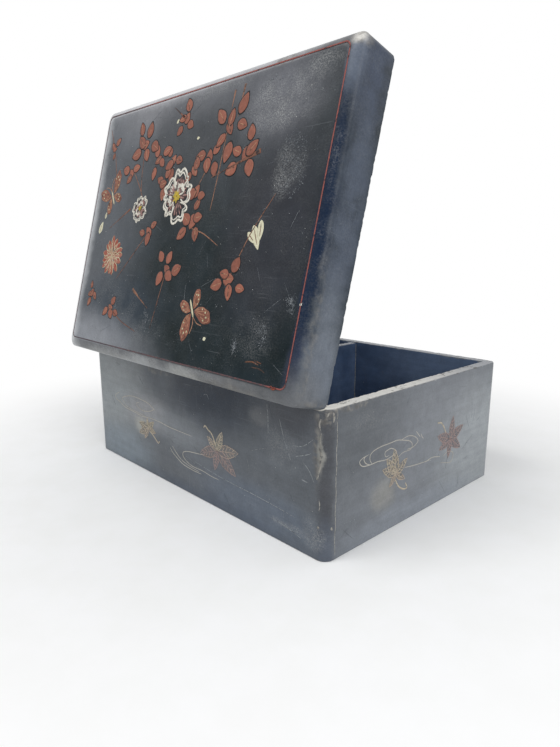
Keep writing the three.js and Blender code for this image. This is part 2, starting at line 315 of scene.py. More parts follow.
def lacquer(name, coat, film, film_amount, roughness, stains_and_light=(), dusty=(), wear_places=(),
            worn="8f8b84", wear_reach=1.4, gloss=0.3, shoulder=()):
    """Aged black lacquer. coat and film are its two tones, and worn is the rubbed arris.

    A stain is a centre, a reach, a colour and a strength, and a shoulder stain keeps to where the
    lid's top starts to fall. Besides real stains, these lists carry painted shadow, sheen and
    reflection. dusty and wear_places are a centre, a reach and a strength: dust is a fine pale
    grain, and wear shows the undercoat in torn patches.
    """
    material, tree, shader = new_material(name)
    where = add(tree, "Attribute", attribute_name="closed").outputs["Vector"]
    edge = add(tree, "Attribute", attribute_name="edge").outputs["Fac"]
    rim = add(tree, "Attribute", attribute_name="rim").outputs["Fac"]
    uneven = pushed_about(tree, where, 16, 2.5)

    film_mask = times(tree, cloud(tree, where, 40, 0.3, 0.72), film_amount)
    colour = blend_colours(tree, film_mask, linear(coat), linear(film))
    # Stains, painted shadows and painted reflections, each laid over the colour below.
    for centre, reach, tone, strength in stains_and_light:
        stained_or_lit = times(tree, near(tree, uneven, centre, reach), strength)
        colour = blend_colours(tree, stained_or_lit, colour, linear(tone))
    if shoulder:
        height = add(tree, "SeparateXYZ", {0: where}).outputs["Z"]
        slope = add(tree, "MapRange", {"Value": height, "From Min": FALL_IS_FULL,
                                       "From Max": FALL_STARTS, "To Min": 1.0,
                                       "To Max": 0.0}).outputs[0]
    for centre, reach, tone, strength in shoulder:
        stained_or_lit = times(tree, times(tree, near(tree, uneven, centre, reach), slope), strength)
        colour = blend_colours(tree, stained_or_lit, colour, linear(tone))

    streaks = cloud(tree, where, 3.2, 0.25, 0.75, detail=3, stretch=(0.06, 0.06, 1))
    patches = cloud(tree, where, 9, 0.3, 0.7, detail=6)
    speckle = cloud(tree, where, 1.2, 0.3, 0.7, detail=2)
    mottle = 0.0
    for mask, share in zip((streaks, patches, speckle), MOTTLE_SHARES):
        mottle = add(tree, "Math", {0: mottle, 1: times(tree, mask, share)},
                     operation="ADD").outputs[0]
    level = add(tree, "MapRange", {"Value": mottle, "From Max": sum(MOTTLE_SHARES),
                                   "To Min": 1 - MOTTLE_LEVEL,
                                   "To Max": 1 + MOTTLE_LEVEL}).outputs[0]
    colour = add(tree, "VectorMath", {0: colour, "Scale": level}, operation="SCALE").outputs[0]

    hairs = cloud(tree, where, 1.1, 0.66, 0.7, detail=1, stretch=(0.03, 1, 1), turn=(0.2, 0.5, 0.3))
    crossed = cloud(tree, where, 1.0, 0.67, 0.7, detail=1, stretch=(1, 1, 0.03),
                    turn=(0.5, 0.2, 0.4))
    scratched = times(tree, largest(tree, hairs, crossed), cloud(tree, where, 30, 0.45, 0.7))
    colour = blend_colours(tree, times(tree, scratched, 0.16), colour, linear("8d9196"))

    dust = 0.0
    for centre, reach, strength in dusty:
        dust = largest(tree, dust, times(tree, near(tree, uneven, centre, reach), strength))
    grain = times(tree, cloud(tree, where, 14, 0.25, 0.7, detail=8),
                  cloud(tree, where, 0.9, 0.35, 0.75, detail=3))
    dust = times(tree, largest(tree, dust, 0.1), grain)
    colour = blend_colours(tree, dust, colour, linear("9c9d9c"))

    torn = add(tree, "TexNoise", {"Vector": where, "Scale": per_metre(5), "Detail": 6,
                                  "Roughness": 0.65}).outputs["Fac"]
    ragged = add(tree, "MapRange", {"Value": torn, "From Min": 0.36, "From Max": 0.75,
                                    "To Min": -0.4, "To Max": wear_reach}).outputs[0]
    rubbed = add(tree, "MapRange", {"Value": add(tree, "Math", {0: ragged, 1: edge},
                                                 operation="SUBTRACT").outputs[0],
                                    "From Min": -0.25, "From Max": 0.45}).outputs[0]
    for centre, reach, strength in wear_places:
        place = times(tree, near(tree, uneven, centre, reach), strength)
        patch = times(tree, place, cloud(tree, where, 4, 0.4, 0.58, detail=8))
        rubbed = largest(tree, rubbed, patch)
    undercoat = blend_colours(tree, cloud(tree, where, 5, 0.35, 0.65), linear(worn),
                              linear("5b5854"))
    colour = blend_colours(tree, times(tree, rubbed, 0.7), colour, undercoat)

    near_rim = near(tree, uneven, (136, -80, 93), (90, 170, 60))
    rim_tone = blend_colours(tree, near_rim, linear("a2a4a8"), linear("f4f1ea"))
    chipped = cloud(tree, where, 5, 0.56, 0.64, detail=8)
    rim_tone = blend_colours(tree, times(tree, chipped, 0.7), rim_tone, linear("4a4844"))
    colour = blend_colours(tree, times(tree, rim, 0.95), colour, rim_tone)

    dulled = largest(tree, largest(tree, times(tree, film_mask, 0.6), rubbed),
                     largest(tree, rim, dust))
    rough = add(tree, "MapRange", {"Value": dulled, "To Min": roughness, "To Max": 0.6}).outputs[0]
    pores = add(tree, "TexNoise", {"Vector": where, "Scale": per_metre(6), "Detail": 5,
                                   "Roughness": 0.5}).outputs["Fac"]
    relief = add(tree, "Math", {0: pores, 1: times(tree, largest(tree, scratched, rubbed), -0.5)},
                 operation="ADD").outputs[0]
    bump = add(tree, "Bump", {"Strength": 0.2, "Distance": 0.12 * MM, "Height": relief})
    plug_in(tree, shader, {"Base Color": colour, "Roughness": rough, "Normal": bump.outputs[0],
                           "IOR": 1.5, "Specular IOR Level": gloss})
    return material


# %% The body's lacquer
# The hinge side is greyed at its left and blue along its foot, and the blue-black under the lid is
# a painted shadow of the lid's overhang. The right end is painted paler all over, a painted
# reflection of bright surroundings, and the upright arris between them is dark and chipped.
BODY_STAINS_AND_PAINTED_LIGHT = [
    ((-125, -98, 60), (100, 20, 60), "83898c", 0.9), ((-55, -98, 50), (50, 20, 20), "86878a", 0.85),
    ((-100, -98, 12), (70, 20, 26), "727d86", 0.8), ((-8, -98, 48), (50, 20, 20), "73787d", 0.75),
    ((75, -98, 14), (85, 20, 24), "586270", 0.75), ((24, -98, 93), (90, 20, 52), "0a1c2e", 1.0),
    ((-36, -98, 84), (30, 20, 20), "454c54", 0.8), ((108, -98, 88), (36, 20, 24), "3e4148", 0.9),
    ((80, -98, 77), (14, 20, 8), "66686b", 0.6), ((20, -98, -8), (180, 20, 22), "434d5c", 0.95),
    ((137, 0, 46), (12, 150, 80), "70747a", 1.0), ((137, 88, 24), (14, 96, 84), "8c9195", 0.95),
    ((137, -84, 80), (12, 90, 66), "53575c", 0.9), ((137, -10, 4), (12, 110, 16), "858b94", 0.6),
    ((137, -44, 27), (5, 18, 16), "8b8982", 0.55), ((-65, -98, 38), (14, 5, 10), "9a9a93", 0.7),
    ((136, -98, 46), (9, 10, 110), "404247", 1.0), ((136, -98, 6), (10, 10, 30), "525a67", 0.7),
    ((130.5, -98, 67), (3, 6, 15), "a09f98", 0.65)]
BODY_DUST = [((106, -98, 13), (24, 4, 4), 1.0), ((100, -98, 60), (20, 4, 24), 0.4),
             ((136, -60, 80), (4, 40, 10), 0.3), ((-100, -98, 80), (60, 6, 20), 0.4),
             ((126, -98, 16), (12, 6, 14), 0.8)]
BODY_WEAR = [((129, -98, 66), (4, 5, 24), 0.9), ((133, -96, 88), (9, 8, 8), 0.9),
             ((137, -84, 91), (4, 34, 3), 0.9), ((-40, -98, 88), (40, 4, 4), 0.5)]
body_lacquer = lacquer("aged_black_lacquer_of_the_body_with_painted_light", "51565c", "60656c", 0.6, 0.3,
                       stains_and_light=BODY_STAINS_AND_PAINTED_LIGHT, dusty=BODY_DUST, wear_places=BODY_WEAR)

# %% The inside's lacquer
inner_lacquer = lacquer("blue_black_lacquer_inside", "2c3b54", "4c5f7c", 0.7, 0.34,
                        stains_and_light=[((100, 90, 80), (90, 14, 50), "64758f", 0.8)],
                        worn="8a867e", wear_reach=0.8, gloss=0.25)

# %% The lid's lacquer
# The top keeps its black in the middle. A pale haze is painted along the opening side and the left
# end, palest at their edges: a painted reflection of bright surroundings on the shoulders. A brown
# cast lies towards the right, and a painted blue sheen runs outside the border line, paler near the
# opening side. The lid's right end is blue-grey and paler towards its foot, and the hinge side's
# shoulder is rubbed grey, partly a painted reflection of the floor.
LID_STAINS_AND_PAINTED_LIGHT = [
    ((20, 120, 121), (260, 146, 80), "505256", 0.7), ((0, 106, 121), (150, 44, 40), "6f7075", 0.65),
    ((-86, 96, 121), (64, 50, 40), "8b8b8f", 0.75),
    ((-60, 101, 121), (190, 17, 40), "b0b0b4", 0.75),
    ((-130, 0, 121), (122, 170, 60), "565a60", 0.85),
    ((-60, -60, 121), (80, 34, 30), "27333f", 0.7), ((80, 70, 121), (48, 34, 30), "65666c", 0.75),
    ((94, -6, 121), (60, 80, 40), "3c3b42", 0.5), ((-112, -97, 121), (145, 42, 30), "85888e", 0.9),
    ((130, -10, 121), (6, 150, 12), "172438", 1.0),
    ((-136, 10, 121), (21, 300, 20), "bcbec1", 0.9), ((129, -86, 121), (7, 40, 12), "343a4b", 0.6),
    ((131, 86, 121), (7, 28, 14), "6a7280", 0.7), ((131, 95, 118), (8, 6, 9), "d6d2c9", 0.9),
    ((136, 90, 108), (6, 80, 22), "444b59", 1.0), ((136, 0, 106), (6, 90, 22), "4b525e", 1.0),
    ((136, -80, 106), (8, 70, 24), "646a73", 1.0)]
LID_SHOULDER_WEAR_AND_REFLECTION = [
    ((0, -98, 117), (300, 30, 30), "626467", 1.0),
    ((-40, -98, 114.5), (120, 20, 9), "9da0a2", 0.95),
    ((34, -97, 115), (30, 20, 9), "a8a9a6", 0.8), ((84, -98, 114.5), (40, 20, 9), "737270", 0.8),
    ((120, -98, 114.5), (20, 20, 9), "77797c", 0.7), ((-137, 0, 119), (26, 400, 9), "c4c6c8", 1.0),
    ((-40, 98, 119), (220, 20, 8), "b4b4b7", 0.95)]
LID_DUST = [((82, 69, 122), (38, 24, 6), 1.0), ((98, 28, 122), (18, 24, 6), 0.7),
            ((112, 84, 120), (20, 12, 8), 0.8), ((0, -94, 118), (150, 7, 12), 0.8),
            ((-20, -74, 122), (30, 16, 6), 0.4), ((130, 30, 116), (5, 60, 10), 0.4),
            ((96, -64, 122), (30, 20, 6), 0.35), ((-70, -60, 122), (60, 40, 6), 0.3),
            ((20, 90, 120), (60, 10, 8), 0.7)]
LID_WEAR = [((130, 94, 117), (12, 7, 9), 0.8), ((136, -97, 104), (6, 6, 20), 0.9),
            ((60, -96, 116), (60, 4, 8), 0.6), ((-60, -96, 116), (80, 4, 8), 0.4),
            ((134, -60, 116), (4, 60, 5), 0.4), ((78, 94, 120), (16, 5, 6), 0.8)]
lid_lacquer = lacquer("aged_black_lacquer_of_the_lid_with_painted_sheen", "091719", "28323a", 0.5, 0.24,
                      stains_and_light=LID_STAINS_AND_PAINTED_LIGHT, dusty=LID_DUST, wear_places=LID_WEAR, gloss=0.07,
                      shoulder=LID_SHOULDER_WEAR_AND_REFLECTION)
print("lacquers:", body_lacquer.name, inner_lacquer.name, lid_lacquer.name)

# %% [markdown]
# ## The walls: one section carried along each board
#
# A wall is a board with a plan path on its outside and a line on its inside. Its section starts at
# the foot of the outer face, goes up over the rim, with both arrises rounded, and comes down the
# inner face. A century of handling doesn't round an arris evenly, so its radius wanders along the
# wall: that is what makes the rim's line look old. The long walls take the rounded corners with
# them, and the end walls butt between, so the joint shows on the end face one board in from the
# corner, as it does on such boxes.


# %% Plan paths
LONG_STEPS, END_STEPS, DIVIDER_STEPS = 220, 160, 120


def arc(centre, radius, start, end, steps=14):
    """Points on a circle's arc, from one angle to another in degrees."""
    angle = np.radians(np.linspace(start, end, steps))
    return np.stack([centre[0] + radius * np.cos(angle), centre[1] + radius * np.sin(angle)], 1)


def long_path(form):
    """The outside of the hinge side's long wall: half an end corner, the side, the other corner."""
    x, y, radius = form.end, form.side, form.corner
    side = np.linspace(x - radius, radius - x, LONG_STEPS)[1:-1]
    return np.vstack([
        [[x, WALL - y]],
        arc((x - radius, radius - y), radius, 0, -90),
        np.stack([side, np.full_like(side, -y)], 1),
        arc((radius - x, radius - y), radius, -90, -180),
        [[-x, WALL - y]],
    ])


def long_inside(form):
    """The inner line under the long path, square below it and kept between the end walls."""
    x = np.clip(long_path(form)[:, 0], WALL - form.end, form.end - WALL)
    return np.stack([x, np.full_like(x, WALL - form.side)], 1)


def end_lines(form):
    """The outside and the inside of the right end wall, between the two butt lines."""
    y = np.linspace(WALL - form.side, form.side - WALL, END_STEPS)
    return (np.stack([np.full_like(y, form.end), y], 1),
            np.stack([np.full_like(y, form.end - WALL), y], 1))


# %% The section
FALL_STEPS, BEND_STEPS, FLAT_STEPS = 26, 7, 12


def handled(count, radius, seed):
    """An arris radius that wanders: a sum of waves of several lengths, kept where it is high."""
    along = np.linspace(0, 1, count)
    phase = np.random.default_rng(seed).random(6)
    wave = sum(np.sin(2 * np.pi * (turns * along + phase[n]))
               for n, turns in enumerate((2, 5, 11, 19, 31, 47))) / 6
    return radius * (0.75 + 2.2 * np.clip(wave, 0, None))


def wall_section(outside, inside, span, outer_arris, inner_arris):
    """Rows of plan points round a wall's section, their drop below the rim, and their rim mask.

    Each row is one step round the section, and each column is one place along the wall. The drop
    eases in squares from the span to the arris, so the rows lie closest near the rim. Round an
    arris of radius r at an angle a, a point lies r(1 - cos a) in and r(1 - sin a) down.
    """
    across = inside - outside
    width = np.linalg.norm(across, axis=1)
    inward = across / np.maximum(width, TINY)[:, None]
    fall = np.linspace(1, 0, FALL_STEPS)[:, None] ** 2
    bend = np.linspace(0, np.pi / 2, BEND_STEPS)[1:, None]
    flat = np.linspace(0, 1, FLAT_STEPS)[1:-1, None]
    nothing = np.zeros(len(outside))
    depth = [fall * nothing, outer_arris * (1 - np.cos(bend)),
             outer_arris + (width - outer_arris - inner_arris) * flat,
             width - inner_arris * (1 - np.cos(bend[::-1])), width + fall * nothing]
    drop = [outer_arris + (span - outer_arris) * fall, outer_arris * (1 - np.sin(bend)),
            flat * nothing, inner_arris * (1 - np.sin(bend[::-1])),
            inner_arris + (span - inner_arris) * fall[::-1]]
    on_rim = [fall * nothing, np.sin(bend) ** 4 + nothing, 1 + flat * nothing,
              np.sin(bend[::-1]) ** 4 + nothing, fall * nothing]
    plan = outside[None] + inward[None] * np.vstack(depth)[..., None]
    return plan, np.vstack(drop), np.vstack(on_rim)


def stop_drop(y):
    """How far the stop chamfer lies below the rim at a distance y.

    The two rims meet at the hinge's limit, so each chamfer is a plane that passes the pin by a
    small gap and is sloped at half of that angle.
    """
    half = LIMIT / 2
    gap = abs(RIM_Z - AXIS[2])
    return (STOP_GAP + np.sin(half) * (AXIS[1] - y)) / np.cos(half) - gap


# %% One wall
INNER_ARRIS = 0.8
CHAMFER_RIM = 0.35


def finish_board(piece, node):
    """Closes a board's shell and lets it stand for its solid in the frame."""
    close_shell(piece)
    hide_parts(node)
    return piece


def wall(name, node, form, body, lines, mirror, away, span, material, seed, stop=False):
    """A wall piece. away is -1 below a rim and 1 above it, and mirror takes it to its own side."""
    outside, inside = lines
    plan, drop, on_rim = wall_section(outside, inside, span,
                                      handled(len(outside), form.arris, seed),
                                      handled(len(outside), form.arris * INNER_ARRIS, seed + 1))
    if stop:
        chamfer = stop_drop(plan[..., 1])
        under_lacquer = (chamfer > drop) & (np.abs(plan[..., 0]) < form.end - 2 * form.corner)
        on_rim = np.where(under_lacquer, CHAMFER_RIM, 1) * on_rim
        drop = np.maximum(drop, chamfer)
    height = form.rim + away * (drop + LEAF_REVEAL)
    points = np.concatenate([plan * mirror, height[..., None]], axis=-1).reshape(-1, 3)
    piece = add_piece(name, points, section_faces(*drop.shape), material, body,
                      edge=edge_distance(points, form), rim=on_rim.ravel())
    return finish_board(piece, node)


# %% The inside takes another colour
TOUCH = 0.05 * MM
BOARD_TOUCH = 0.1 * MM


def paint_inside(piece, inside):
    """Gives the faces whose centres pass a test the inner lacquer."""
    mesh = piece.data
    mesh.materials.append(inner_lacquer)
    centre = np.empty(len(mesh.polygons) * 3, np.float32)
    mesh.polygons.foreach_get("center", centre)
    chosen = inside(centre.reshape(-1, 3).astype(float))
    mesh.polygons.foreach_set("material_index", chosen.astype(np.int32))
    mesh.update()


def within(points, form):
    """Points on an inner face: a whole wall in from both outer faces."""
    return ((form.end - np.abs(points[:, 0]) > WALL - TOUCH)
            & (form.side - np.abs(points[:, 1]) > WALL - TOUCH))


# %% Walls of the body and the lid
def four_walls(prefix, form, body, away, span, material):
    """The hinge side, the opening side and the two ends of the body or the lid."""
    long_lines = (long_path(form), long_inside(form))
    made = []
    for seed, (word, lines, mirror) in enumerate((
            ("hinge_side", long_lines, (1, 1)), ("opening_side", long_lines, (1, -1)),
            ("left_end", end_lines(form), (-1, 1)), ("right_end", end_lines(form), (1, 1)))):
        node = f"{prefix}{word}_wall"
        piece = wall(node + "_lacquered", node, form, body, lines, mirror, away, span, material,
                     seed=10 * seed + len(prefix), stop=word == "hinge_side")
        if body == "lid":
            paint_inside(piece, lambda points: within(turned(points, -OPEN), form))
        else:
            paint_inside(piece, lambda points: within(points, form))
        made.append(piece)
    return made


body_walls = four_walls("", BODY, "box_body", -1, RIM_Z - FLOOR_Z, body_lacquer)
lid_walls = four_walls("lid_", LID, "lid", 1, BOARD_Z - LID_RIM_Z, lid_lacquer)
print("walls:", len(body_walls) + len(lid_walls))

# %% [markdown]
# ## Boards: floor, lid top and divider
#
# The floor and the lid's top are rings of the same rounded rectangle. Rings run from the middle
# of the underside out to the edge, round it and back to the middle of the top. On the lid the
# edge is the soft shoulder: a quarter ellipse that falls 5 mm over its last 9 mm.


# %% Rings of a rounded rectangle
SIDE_STEPS = 26
QUADRANTS = ((1, 1, 0), (-1, 1, 90), (-1, -1, 180), (1, -1, 270))
INNER_SHARES = np.linspace(0.0, 0.97, 10)


def ring(form, inset, radius, share):
    """A rounded rectangle, anticlockwise, and shrunk to a share of itself about its middle."""
    x, y = form.end - inset - radius, form.side - inset - radius
    corners = [arc((right * x, back * y), radius, start, start + 90)
               for right, back, start in QUADRANTS]
    points = []
    for corner, following in zip(corners, corners[1:] + corners[:1]):
        along = np.linspace(0, 1, SIDE_STEPS)[1:-1, None]
        points += [corner, corner[-1] * (1 - along) + following[0] * along]
    return np.vstack(points) * share


def slab(name, node, form, levels, material, body):
    """A board from its levels: each is an inset, a corner radius and a height, lowest first."""
    rows = [(*levels[0], share) for share in INNER_SHARES]
    rows += [(*level, 1.0) for level in levels]
    rows += [(*levels[-1], share) for share in INNER_SHARES[::-1]]
    plan = np.array([ring(form, inset, radius, share) for inset, radius, _, share in rows])
    height = np.array([row[2] for row in rows])[:, None, None] + np.zeros((*plan.shape[:2], 1))
    points = np.concatenate([plan, height], axis=-1).reshape(-1, 3)
    faces = grid_faces(len(rows), plan.shape[1], round_columns=True).tolist()
    piece = add_piece(name, points, faces, material, body, edge=edge_distance(points, form))
    return finish_board(piece, node)


# %% Floor and lid top
quarter = np.linspace(0, np.pi / 2, 20)
foot_levels = [(BODY.arris * (1 - np.sin(a)), BODY.corner - BODY.arris * (1 - np.sin(a)),
                BODY.arris * (1 - np.cos(a))) for a in quarter[::3]]
floor = slab("floor_board_lacquered", "floor_board", BODY,
             foot_levels + [(0, BODY.corner, FLOOR_Z)], body_lacquer, "box_body")
paint_inside(floor, lambda points: within(points, BODY) & (points[:, 2] > FLOOR_Z - BOARD_TOUCH))

shoulder_levels = [(0, LID.corner, BOARD_Z)]
for angle in quarter:
    inset = SHOULDER_INSET * (1 - np.cos(angle))
    shoulder_levels.append((inset, LID.corner + CORNER_SPREAD * inset,
                            TOP_Z - SHOULDER_DROP * (1 - np.sin(angle))))
lid_top = slab("lid_top_board_lacquered", "lid_top_board", LID, shoulder_levels, lid_lacquer,
               "lid")


def under_lid(points):
    """Points on the underside of the lid's top, inside its four walls."""
    shut = turned(points, -OPEN)
    return within(shut, LID) & (shut[:, 2] < BOARD_Z + BOARD_TOUCH)


paint_inside(lid_top, under_lid)

# %% Divider
between = np.linspace(WALL - BODY.side, BODY.side - WALL, DIVIDER_STEPS)
near_side = np.stack([np.full_like(between, divider_low[0]), between], 1)
divider_rim = divider_high[2]
worn_edges = (handled(len(between), BODY.arris, 71), handled(len(between), BODY.arris, 72))
plan, drop, on_rim = wall_section(near_side, near_side * (-1, 1), divider_rim - FLOOR_Z,
                                  *worn_edges)
points = np.concatenate([plan, (divider_rim - drop)[..., None]], axis=-1).reshape(-1, 3)
divider = add_piece("centre_divider_lacquered", points, section_faces(*drop.shape), inner_lacquer,
                    "box_body", rim=on_rim.ravel() * 0.8, edge=(divider_rim - points[:, 2]) / MM)
finish_board(divider, "centre_divider")
print("boards:", floor.name, lid_top.name, divider.name)

# %% [markdown]
# ## Brass hinges and bamboo pegs
#
# The hinges are small and of rolled brass, tarnished to a brown gold. Their solids in the frame
# have the right shape, so they stay and only take a finish. The pegs lie under the lacquer.


# %% Brass and bamboo
def aged_brass():
    """Rolled brass with a brown tarnish in soft patches and fine rubbed lines."""
    material, tree, shader = new_material("tarnished_rolled_brass")
    where = add(tree, "TexCoord").outputs["Object"]
    tarnish = cloud(tree, where, 4, 0.35, 0.65, detail=6)
    lines = cloud(tree, where, 0.5, 0.4, 0.7, detail=2, stretch=(0.1, 1, 1))
    colour = blend_colours(tree, tarnish, linear("b08d4a"), linear("6a5126"))
    colour = blend_colours(tree, times(tree, lines, 0.3), colour, linear("d2b068"))
    rough = add(tree, "MapRange", {"Value": tarnish, "To Min": 0.3, "To Max": 0.55}).outputs[0]
    plug_in(tree, shader, {"Base Color": colour, "Roughness": rough, "Metallic": 1.0})
    return material


def split_bamboo():
    """Split bamboo: long pale fibres about half a millimetre apart."""
    material, tree, shader = new_material("split_bamboo")
    where = add(tree, "TexCoord").outputs["Object"]
    fibre = cloud(tree, where, 0.5, 0.35, 0.65, stretch=(1, 0.1, 0.1))
    colour = blend_colours(tree, fibre, linear("c9ab74"), linear("8d6f42"))
    plug_in(tree, shader, {"Base Color": colour, "Roughness": 0.65})
    return material


brass = aged_brass()
bamboo = split_bamboo()
for name, node in frame["nodes"].items():
    if "peg" in name:
        node.material_slots[0].material = bamboo
    elif "hinge_body" in name or "hinge_lid" in name or "hinge_pin" in name:
        node.material_slots[0].material = brass

# %% [markdown]
# ## Brushwork
#
# Lacquer decoration is a thin raised film, so each stroke and petal is a real sheet laid on its
# face, 0.03 to 0.15 mm thick and thickest where it is painted over another. A stroke is a
# centreline with a width that swells and tapers as a brush does. A leaf is a strip whose width
# follows an egg. Both are grids of points in the plane of a face, and one function lays them on the
# face they belong to. Where sheets overlap, each starts a few thousandths of a millimetre above the
# last, as the brush left them.

# %% Faces to paint on
FILM = 0.05 * MM
MIST_FILM, LINE_FILM, LIP_FILM, THREAD_FILM = 0.6 * FILM, 2.2 * FILM, 2.6 * FILM, 3 * FILM
LIFT = 0.004 * MM
LIFTS = 12
X, Y, Z = np.eye(3)


def plane(origin, across, up):
    """Millimetres across and up a flat face, and a lift off it, to closed points."""
    normal = np.cross(across, up)

    def place(flat, lift):
        return (np.asarray(origin) + flat[..., :1] * MM * across + flat[..., 1:] * MM * up
                + lift * normal)
    return place


ON_LID = plane((0, 0, TOP_Z), X, Y)
ON_HINGE_SIDE = plane((0, -BODY.side, 0), X, Z)
ON_OPENING_SIDE = plane((0, BODY.side, 0), -X, Z)
ON_RIGHT_END = plane((BODY.end, 0, 0), Y, Z)
ON_LEFT_END = plane((-BODY.end, 0, 0), -Y, Z)
ON_INNER_FACE = plane((0, BODY.side - WALL, 0), X, Z)


def round_corner(flat, lift):
    """Millimetres along the wall past the start of the near corner's arc, and up it."""
    angle = flat[..., 0] * MM / BODY.corner - np.pi / 2
    reach = BODY.corner + lift
    return np.stack([BODY.end - BODY.corner + reach * np.cos(angle),
                     BODY.corner - BODY.side + reach * np.sin(angle), flat[..., 1] * MM], axis=-1)


def lay(name, sheets, place, material, body, tones=None, film=FILM):
    """Joins flat grids into one piece of paint on a face and gives it its thickness.

    A tone is one number for a sheet, or one for each of its rows.
    """
    points, faces, tone, start = [], [], [], 0
    for number, sheet in enumerate(sheets):
        rows, columns = sheet.shape[:2]
        points.append(place(sheet, LIFT * (number % LIFTS)).reshape(-1, 3))
        faces.append(grid_faces(rows, columns, start=start))
        value = np.reshape(0.0 if tones is None else tones[number], (-1, 1))
        tone.append(np.broadcast_to(value, (rows, columns)).ravel())
        start += rows * columns
    piece = add_piece(name, np.vstack(points), np.vstack(faces).tolist(), material, body,
                      tone=np.concatenate(tone))
    thick = piece.modifiers.new("film", "SOLIDIFY")
    thick.thickness = film
    thick.offset = 1


def gathered(drawings):
    """What several drawings are made of, joined list by list."""
    return [sum(lists, []) for lists in zip(*drawings)]


# %% Strokes, curves and leaves
THINNEST = 0.03


def placed(sheet, centre, turn=0):
    """A flat grid turned by degrees and moved to its place."""
    angle = np.radians(turn)
    spin = np.array([[np.cos(angle), np.sin(angle)], [-np.sin(angle), np.cos(angle)]])
    return np.asarray(sheet) @ spin + np.asarray(centre, float)


def mirrored(sheet):
    """A sheet flipped left to right, with its columns reversed so that it still faces outwards."""
    return sheet[:, ::-1] * (-1, 1)


def stroke(line, width, taper=0.5):
    """A brush stroke: points either side of a line, as far as its half width there."""
    line = np.asarray(line, float)
    ahead = np.gradient(line, axis=0)
    ahead /= np.maximum(np.linalg.norm(ahead, axis=1, keepdims=True), TINY)
    left = np.stack([-ahead[:, 1], ahead[:, 0]], 1)
    along = np.linspace(0, 1, len(line))
    half = np.maximum(width / 2 * np.sin(np.pi * along) ** taper, THINNEST)[:, None]
    return np.stack([line + left * half, line - left * half], axis=1)


def curve(points, steps=24):
    """A smooth line through a few points: a Catmull-Rom curve."""
    knots = np.asarray(points, float)
    knots = np.vstack([2 * knots[0] - knots[1], knots, 2 * knots[-1] - knots[-2]])
    t = np.linspace(0, len(knots) - 3 - 1e-6, steps)
    i = t.astype(int)
    f = (t - i)[:, None]
    a, b, c, d = knots[i], knots[i + 1], knots[i + 2], knots[i + 3]
    return 0.5 * (2 * b + (c - a) * f + (2 * a - 5 * b + 4 * c - d) * f ** 2
                  + (3 * b - a - 3 * c + d) * f ** 3)


def ray(length, start=0.0, steps=10):
    """A straight line along x, from a share of its length to the whole."""
    return np.stack([np.linspace(start, 1, steps) * length, np.zeros(steps)], 1)


def strip(along, half):
    """A flat grid seven points wide about the x axis, from its lengths and half widths."""
    half = np.maximum(half, THINNEST)
    return np.stack([np.repeat(along[:, None], 7, 1), half[:, None] * np.linspace(1, -1, 7)], -1)


def blade(length, width, belly=0.85, steps=16):
    """A pointed petal or lobe along x: its half width is a sine of its length."""
    along = np.linspace(0, 1, steps)
    return strip(along * length, width / 2 * np.sin(np.pi * along ** belly) ** 0.8)


def egg(length, width, steps=18):
    """A rounded leaf along x: fuller near its foot and drawn to a soft point."""
    along = (1 - np.cos(np.linspace(0, np.pi, steps))) / 2
    return strip(along * length, width / 2 * np.sin(np.pi * along ** 0.8) ** 0.72)


# %% Paints and gold
def paint(name, light, dark, wear=0.35, grain=2.2, roughness=0.5, under="181d20", torn=3.5,
          mottle=0.4):
    """Pigment in lacquer, worn in places to the black beneath. tone turns light to dark."""
    material, tree, shader = new_material(name)
    where = add(tree, "Attribute", attribute_name="closed").outputs["Vector"]
    tone = add(tree, "Attribute", attribute_name="tone").outputs["Fac"]
    mottled = cloud(tree, where, grain, 0.3, 0.7, detail=5)
    shade = add(tree, "Math", {0: tone, 1: times(tree, mottled, mottle)}, operation="ADD",
                use_clamp=True).outputs[0]
    colour = blend_colours(tree, shade, linear(light), linear(dark))
    gone = cloud(tree, where, torn, 0.72 - wear * 0.5, 0.8 - wear * 0.4, detail=8)
    colour = blend_colours(tree, times(tree, gone, 0.85), colour, linear(under))
    bump = add(tree, "Bump", {"Strength": 0.3, "Distance": 0.05 * MM, "Height": mottled})
    plug_in(tree, shader, {"Base Color": colour, "Normal": bump.outputs[0],
                           "Roughness": roughness, "Specular IOR Level": 0.15})
    return material


red_oxide = paint("red_oxide_lacquer", "985f4e", "14191c", wear=0.12, mottle=0.2)
vermilion = paint("vermilion_border_lacquer", "96524a", "4b4145", wear=0.3)
shell_white = paint("shell_white", "d9d5c9", "a79f94", wear=0.3)
cream = paint("cream_shell_white", "d0cdb4", "b5ad8c", wear=0.15)
blush = paint("pink_shell_white", "a8837c", "3a2f2e", wear=0.5)
yellow = paint("orpiment_yellow", "b9a23c", "86722a", wear=0.2)
ochre = paint("ochre_veins", "ab8066", "6e4a3c", wear=0.45)

# %% The red border line
# It is bright along the right and the opening side, and dulled towards grey elsewhere.
BORDER_X, BORDER_HIGH, BORDER_LOW, BORDER_TURN = 127.0, 92.3, -90.1, 4.0
BORDER_WIDTH, BORDER_STEPS = 0.85, 60
corner_x = BORDER_X - BORDER_TURN
low_turn, high_turn = BORDER_LOW + BORDER_TURN, BORDER_HIGH - BORDER_TURN
right_y = np.linspace(low_turn, high_turn, BORDER_STEPS)
side_x = np.linspace(corner_x, -corner_x, BORDER_STEPS)[1:-1]
border = np.vstack([
    np.stack([np.full_like(right_y, BORDER_X), right_y], 1),
    arc((corner_x, high_turn), BORDER_TURN, 0, 90),
    np.stack([side_x, np.full_like(side_x, BORDER_HIGH)], 1),
    arc((-corner_x, high_turn), BORDER_TURN, 90, 180),
    arc((-corner_x, low_turn), BORDER_TURN, 180, 270),
    np.stack([side_x[::-1], np.full_like(side_x, BORDER_LOW)], 1),
    arc((corner_x, low_turn), BORDER_TURN, 270, 352),
])
